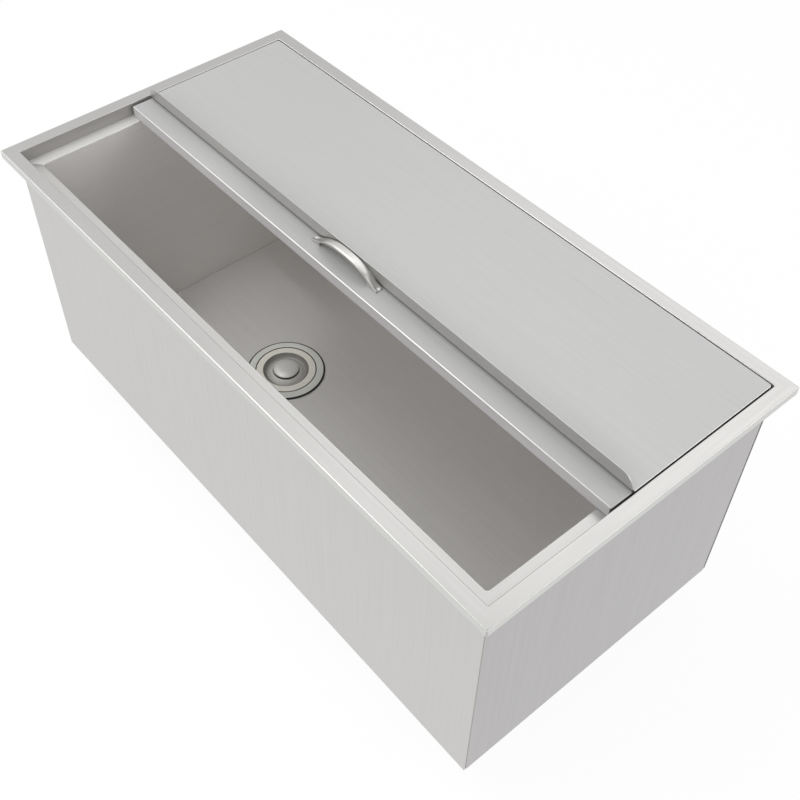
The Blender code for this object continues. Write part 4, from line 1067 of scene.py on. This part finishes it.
def makeThread(name, radius, top, bottom):
    ridge, drop = drain["threadRidge"], top - bottom
    piece = newThing(name, bmesh.new())
    grown(piece, thread, radius=radius - ridge, turns=drop / drain["threadPitch"], drop=drop, ridge=ridge,
          material=castNickel)
    piece.data.transform(Matrix.Translation((0, 0, bottom)))
    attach(atDrain(smoothed(piece, 30)), "chest")
    return piece


makeStrainerBody()
cupUnder, runOut = -drain["cupDepth"] - drain["cupWall"], drain["threadRunOut"]
makeThread("cupThread", drain["cupRadius"], -drain["cupNeck"] - runOut,
           cupUnder + drain["cupFillet"] + runOut)
makeThread("outletThread", drain["outletRadius"], cupUnder - drain["outletNeck"] - runOut,
           cupUnder - drain["outletLength"] + 2 * runOut)


# Seal above the floor; gasket, washer and locknut under the jacket
def nodeLevels(node):
    low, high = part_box(node)
    return low.z - floorZ, high.z - floorZ, (high.x - low.x) / 2


def softRing(inner, outer, low, high, soft):
    # a ring's section with its four corners rounded
    profile = []
    for centre, start in (((inner + soft, low + soft), 2), ((outer - soft, low + soft), 3),
                          ((outer - soft, high - soft), 0), ((inner + soft, high - soft), 1)):
        profile += arcRow(centre, soft, start, start + 1, 4)
    return profile


# node, width, how much is left off outside, rounding, material and slot
clampRings = {
    "flangeSeal": ("flange_seal", 10.9 * mm, 1 * mm, 0.35 * mm, blackRubber, "black_rubber"),
    "rubberGasket": ("rubber_gasket", 11 * mm, 0, 0.8 * mm, blackRubber, "black_rubber"),
    "fibreWasher": ("fibre_washer", 10 * mm, 0, 0.15 * mm, pressedFibre, "fibre_washer"),
}
for name, (node, width, trim, soft, material, slot) in clampRings.items():
    low, high, outer = nodeLevels(node)
    piece = newThing(name, turned(softRing(outer - width, outer - trim, low, high, soft)))
    paint(piece, material)
    hand(atDrain(smoothed(piece, 40)), "chest", slot, node)


locknut = {
    "width": 9 * mm,
    "bevel": 1.4 * mm,
    "bevelRound": 0.3,                 # share of the bevel
    "soft": 0.3 * mm,
    "lead": 0.5 * mm,
    "collar": 2.2 * mm,
    "notches": 8,
    "notchWidth": 7 * mm,
    "notchDepth": 3 * mm,
    "notchRound": 0.8 * mm,
    "overrun": 5 * mm,
}


def makeLocknut():
    low, high, outer = nodeLevels("drain_locknut")
    n = locknut
    inner, bevel, lead, soft = outer - n["width"], n["bevel"], n["lead"], n["soft"]
    blunt = bevel * n["bevelRound"]
    profile = [(inner + lead, low), (outer - bevel, low), (outer - blunt, low + blunt), (outer, low + bevel),
               (outer, high - soft), (outer - soft, high), (inner, high), (inner, low + lead)]
    piece = newThing("drainLocknut", turned(profile))
    notch = high - n["collar"] - low
    grown(piece, slotRing, count=n["notches"], radius=outer, height=low - n["overrun"] + notch / 2,
          width=n["notchWidth"], length=notch + 2 * n["overrun"], depth=2 * n["notchDepth"],
          endRadius=n["notchRound"], material=castNickel)
    return hand(atDrain(smoothed(piece, 35)), "chest", "satin_nickel", "drain_locknut")


makeLocknut()
print("drain and its clamp made")


# Stopper: pressed plate with a bowl and a domed knob, over a slotted basket and a rubber disc on a stem
stopper = {
    "plateRadius": 43.8 * mm,
    "plateSheet": 1 * mm,
    "plateTop": 3.1 * mm,
    "plateRound": 0.5 * mm,
    "rimWidth": 9.5 * mm,
    "bowlDepth": 6 * mm,
    # shares of the rim's inner radius and of the bowl's depth
    "bowlShares": ((1.0, -0.08), (0.965, 0.05), (0.93, 0.35), (0.88, 0.8), (0.82, 1.0), (0.75, 0.95),
                   (0.68, 0.65), (0.61, 0.35), (0.56, 0.27), (0.48, 0.3)),
    # painted shade on the step into the bowl, between these shares
    "paintedShadeStep": (0.945, 0.985),        # shares of the rim's inner radius
    "knobRadius": 18.6 * mm,
    "knobHeight": 7.6 * mm,
    "knobNeck": 5.5 * mm,
    "knobShadow": 1 * mm,
    "domeShares": ((0, 1.0), (0.35, 0.96), (0.62, 0.86), (0.83, 0.69), (0.95, 0.52), (1.0, 0.38),
                   (0.97, 0.26), (0.88, 0.22)),
    "basketRadius": 37 * mm,
    "basketTaper": 4 * mm,
    "basketSheet": 0.8 * mm,
    "basketFillet": 2.4 * mm,
    "slots": 16,
    "slotWidth": 3.4 * mm,
    "slotReach": 12 * mm,
    "slotLength": 0.6,                 # share of the basket's height
    "floorSlotPlace": 0.59,            # shares of the basket's lower radius
    "floorSlotLength": 0.46,
    "discThickness": 4 * mm,
    "discLip": 1.4 * mm,
}
ringTop = stopper["plateTop"] - stopper["bowlDepth"] * stopper["bowlShares"][-1][1]


def makePlate():
    s = stopper
    rimIn, plateTop = s["plateRadius"] - s["rimWidth"], s["plateTop"]
    soft, thick = s["plateRound"], s["plateSheet"]
    bowl = [(rimIn * reach, plateTop - s["bowlDepth"] * depth) for reach, depth in s["bowlShares"]]
    inner = smoothRow(bowl, 5) + [(drain["stemHole"], ringTop)]
    upper = arcRow((s["plateRadius"] - soft, plateTop - soft), soft, 0, 1, 5) + inner
    lower = [(radius, height - thick) for radius, height in inner[::-1]]
    lower.append((s["plateRadius"] - soft / 5, plateTop - thick))
    piece = newThing("stopperPlate", turned(upper + lower, 160))
    stepIn, stepOut = (rimIn * share for share in s["paintedShadeStep"])

    def look(centre, normal):
        # the flat ring, painted shade on the step inside it and round the knob's edge where the knob's shadow
        # falls, and the bowl between them
        radius = centre.xy.length
        return 0 if radius > stepOut else 2 if stepIn > radius > s["knobRadius"] + s["knobShadow"] else 1

    paint(piece, beigeRing, paintedShadeNickel, bowlNickel, rule=look)
    return hand(atDrain(smoothed(piece, 40)), "stopper", "satin_nickel", "stopper_plate")


def makeKnob():
    s = stopper
    hole, base = drain["stemHole"], ringTop + drain["gap"]
    dome = smoothRow([(s["knobRadius"] * reach, base + s["knobHeight"] * height)
                      for reach, height in s["domeShares"]], 5)
    stemTop = base + s["knobHeight"] / 2 + drain["gap"]
    dome += [(s["knobNeck"], dome[-1][1]), (s["knobNeck"], base), (hole, base), (hole, stemTop), (0, stemTop)]
    piece = newThing("stopperKnob", turned(dome, 128, solid=True))
    # painted shade on the knob's underside
    paint(piece, knobNickel, paintedShadeNickel, rule=lambda centre, normal: 1 if normal.z < -0.05 else 0)
    return hand(atDrain(smoothed(piece, 40)), "stopper", "satin_nickel", "stopper_knob")


def makeBasket():
    s = stopper
    low, top = nodeLevels("strainer_basket")[:2]
    topRadius, lowRadius = s["basketRadius"], s["basketRadius"] - s["basketTaper"]
    fillet, wall, hole = s["basketFillet"], s["basketSheet"], drain["stemHole"]
    shell = [(topRadius, top)] + arcRow((lowRadius - fillet, low + fillet), fillet, 0, -1, 6)
    shell += [(hole, low), (hole, low + wall)]
    shell += arcRow((lowRadius - fillet - wall / 2, low + fillet + wall / 2), fillet - wall / 2, -1, 0, 6)
    shell += [(topRadius - wall, top)]
    piece = newThing("strainerBasket", turned(shell, 160))
    width = s["slotWidth"]
    alike = {"width": width, "endRadius": width / 2, "turn": whole / s["slots"] / 2, "material": castNickel}
    grown(piece, slotRing, count=s["slots"], radius=topRadius - s["basketTaper"] / 2, height=(low + top) / 2,
          length=(top - low) * s["slotLength"], depth=s["slotReach"], **alike)
    grown(piece, slotRing, count=s["slots"] // 2, radius=lowRadius * s["floorSlotPlace"], height=low,
          length=lowRadius * s["floorSlotLength"], depth=s["slotReach"] / 2, tilt=quarter, **alike)
    return hand(atDrain(smoothed(piece, 35)), "stopper", "satin_nickel", "strainer_basket")


def makeStem():
    low, high, radius = nodeLevels("stopper_stem")
    tip = arcRow((radius / 2, low + radius / 2), radius / 2, -1, 0, 5)
    piece = newThing("stopperStem", turned([(0, low)] + tip + [(radius, high), (0, high)], 32, solid=True))
    paint(piece, castNickel)
    return hand(atDrain(smoothed(piece, 40)), "stopper", "satin_nickel", "stopper_stem")


def makeDisc():
    # a flat disc with a soft lip, on a low hub round the stem
    low, high, outer = nodeLevels("stopper_disc")
    thick, lip, soft = stopper["discThickness"], stopper["discLip"], stopper["plateRound"]
    hub, hole, top = drain["hubRadius"], drain["stemHole"], low + thick
    profile = [(hole, low), (outer - lip * 1.6, low), (outer - lip * 0.4, low + lip * 0.5),
               (outer, low + lip)]
    profile += smoothRow([(outer, low + lip), (outer - soft, low + lip + 2 * soft), (outer - lip, top),
                          (hub + thick, top), (hub + lip, top + drain["chamfer"]), (hub, high)], 4)[1:]
    profile += [(hole, high)]
    piece = newThing("stopperDisc", turned(profile, 96))
    paint(piece, blackRubber)
    return hand(atDrain(smoothed(piece, 40)), "stopper", "black_rubber", "stopper_disc")


for makePart in (makePlate, makeKnob, makeBasket, makeStem, makeDisc):
    makePart()
print("stopper made")


# End panels: their tabs fold in behind the long panels and leave an open seam at the body's corners
endPanel = {"bend": 1.4 * mm, "seam": 1.0 * mm, "clearance": 0.3 * mm}


def makeEndPanel(name, node, side):
    low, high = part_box(node)
    longLow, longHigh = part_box("jacket_front")
    thick = longHigh.y - longLow.y
    backX, faceX = (low.x, high.x) if side > 0 else (high.x, low.x)
    depth, span = high.x - low.x - thick / 2, high.y - endPanel["seam"] - thick / 2
    path = [(-span, 0), (-span, depth), (span, depth), (span, 0)]
    left, right = foldedSection(path, thick, endPanel["bend"])
    panel = extruded(left + right[::-1], yAxis, Vector((side, 0, 0)), Vector((0, 0, high.z - low.z)))
    piece = newThing(name, moved(panel, (backX, 0, low.z)))
    # the tabs start above the tray's edge and stop below the ledge
    near, far = sorted((backX - side * sheet, faceX - side * (thick + endPanel["clearance"] / 2)))
    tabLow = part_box("jacket_bottom")[1].z + endPanel["clearance"]
    tabHigh = ledgeZ - sheet - endPanel["clearance"]
    cut(piece, [box((near, low.y - sheet, fromZ), (far, high.y + sheet, toZ))
                for fromZ, toZ in ((low.z - sheet, tabLow), (tabHigh, high.z + sheet))])
    # the tab behind the long panel is painted a little darker than the face, as painted shade in the open
    # seam
    paint(piece, endPanelSteel, rimSteel["recessX"],
          rule=lambda centre, normal: 1 if abs(normal.y) > 0.55 else 0)
    return hand(smoothed(piece, 40), "chest", "brushed_steel", node)


makeEndPanel("endPanelLeft", "jacket_left", -1)
makeEndPanel("endPanelRight", "jacket_right", 1)


# Pieces whose CAD shape is right keep it and only get their finish
keptPieces = {
    longPanelSteel: ("jacket_front", "jacket_back"),
    endPanelSteel: ("jacket_bottom",),
    lidSteel: ("lid_inner_pan",),
    foamBoard: ("foam_front", "foam_back", "foam_left", "foam_right", "foam_bottom", "lid_foam"),
}
for material, nodes in keptPieces.items():
    for node in nodes:
        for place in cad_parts[node].material_slots:
            place.material = material
    print("kept pieces dressed:", *nodes)


# Studio: pale floor under the drain's outlet, white to the eye and to shiny surfaces, and soft lamps
studio = {
    "floorHalf": 6.0,
    "floorWhite": 0.92,                # the part of the floor's white that no shadow takes away
    "floorTone": (0.96, 0.96, 0.96),
    "worldTone": (0.92, 0.93, 0.95),
    "worldStrength": 0.6,
    "darkToward": (0.15, -0.36, 0.92),  # where the room is dark, for shiny surfaces
    "darkFrom": (0.60, 0.92),
    "darkness": 0.7,
    "spotSize": 0.05,
    # place, aim, width and height (a spot has the degrees of its cone), and watts
    "lamps": {
        "backLamp": ((-0.35, 1.4, 2.0), (0.1, 0, 0), (2.2, 1.4), 9.0),
        "frontLeftLamp": ((-1.95, -2.4, 1.2), (0, 0, 0), (3.2, 0.8), 14.0),
        "rightLamp": ((2.4, 1.4, 1.2), (0, 0, 0), (1.6, 0.9), 11.8),
        "tubLamp": ((-1.1, -0.85, 1.9), (0, -0.1, -0.2), (2.0, 1.5), 26.0),
        "lowLamp": ((2.0, -1.9, 1.0), (0, 0, -0.1), (2.4, 1.6), 29.0),
        "drainLamp": ((-0.1, -0.75, 1.35), (-0.29, 0, -0.29), 10.0, 29.0),
    },
}


def seesWhite(tree):
    # 1 for rays from the eye, from a shiny surface and through a clear one
    path = addNode(tree, "ShaderNodeLightPath").outputs
    both = calc(tree, "ADD", path["Is Camera Ray"], path["Is Glossy Ray"])
    return calc(tree, "ADD", both, path["Is Transmission Ray"], use_clamp=True)


def emptied(holder):
    # a material's or a world's own tree, with nothing in it
    holder.use_nodes = True
    holder.node_tree.nodes.clear()
    return holder.node_tree


def makeFloor():
    bm = bmesh.new()
    half = studio["floorHalf"]
    corners = ((-half, -half), (half, -half), (half, half), (-half, half))
    bm.faces.new([bm.verts.new((x, y, cadLow.z)) for x, y in corners])
    floor = newThing("studioFloor", bm)
    material = bpy.data.materials.new("paleFloor")
    tree = emptied(material)
    matt = addNode(tree, "ShaderNodeBsdfDiffuse", {"Color": (*studio["floorTone"], 1)})
    glow = addNode(tree, "ShaderNodeEmission", {"Color": (1, 1, 1, 1), "Strength": 1.0})
    share = calc(tree, "MULTIPLY", seesWhite(tree), studio["floorWhite"])
    mixed = addNode(tree, "ShaderNodeMixShader", {0: share, 1: matt, 2: glow})
    addNode(tree, "ShaderNodeOutputMaterial", {0: mixed})
    floor.data.materials.append(material)


def makeWorld():
    world = bpy.data.worlds.new("paleStudio")
    bpy.context.scene.world = world
    tree = emptied(world)
    plain = addNode(tree, "ShaderNodeBackground",
                    {"Color": (*studio["worldTone"], 1), "Strength": studio["worldStrength"]})
    toward = addNode(tree, "ShaderNodeTexCoord").outputs["Generated"]
    nearness = addNode(tree, "ShaderNodeVectorMath", {0: toward, 1: studio["darkToward"]},
                       operation="DOT_PRODUCT").outputs["Value"]
    dark = rangeOf(tree, nearness, 0, studio["darkness"], *studio["darkFrom"])
    shiny = addNode(tree, "ShaderNodeLightPath").outputs["Is Glossy Ray"]
    level = calc(tree, "SUBTRACT", 1.0, calc(tree, "MULTIPLY", dark, shiny))
    white = addNode(tree, "ShaderNodeBackground", {"Color": (1, 1, 1, 1), "Strength": level})
    mixed = addNode(tree, "ShaderNodeMixShader", {0: seesWhite(tree), 1: plain, 2: white})
    addNode(tree, "ShaderNodeOutputWorld", {0: mixed})


def makeLamps():
    for name, (place, aim, size, watts) in studio["lamps"].items():
        spot = isinstance(size, float)
        data = bpy.data.lights.new(name, "SPOT" if spot else "AREA")
        if spot:
            data.spot_size, data.spot_blend = math.radians(size), 1.0
            data.shadow_soft_size = studio["spotSize"]
        else:
            data.shape = "RECTANGLE"
            data.size, data.size_y = size
        data.energy = watts
        thing = bpy.data.objects.new(name, data)
        thing.location = place
        thing.rotation_euler = (Vector(aim) - Vector(place)).to_track_quat("-Z", "Y").to_euler()
        bpy.context.scene.collection.objects.link(thing)


# Camera: the photograph's own viewpoint, from the right of the front and above
view = {
    "eye": (0.7830, -0.63215, 0.9080),
    "ahead": (-0.5084, 0.4184, -0.7527),
    "right": (0.6379, 0.7701, -0.0029),
    "sensor": 36,
    "lens": 51.17,
    "shift": (0.0404, -0.0019),
}


def makeCamera():
    data = bpy.data.cameras.new("camera")
    data.sensor_width, data.lens = view["sensor"], view["lens"]
    data.shift_x, data.shift_y = view["shift"]
    back = -Vector(view["ahead"]).normalized()
    right = Vector(view["right"]).normalized()
    turn = Matrix((right, back.cross(right), back)).transposed().to_4x4()
    thing = bpy.data.objects.new("camera", data)
    thing.matrix_world = Matrix.Translation(view["eye"]) @ turn
    bpy.context.scene.collection.objects.link(thing)
    bpy.context.scene.camera = thing


makeFloor()
makeWorld()
makeLamps()
makeCamera()
bpy.context.scene.view_settings.view_transform = "Standard"
print("stage, lamps and camera made")
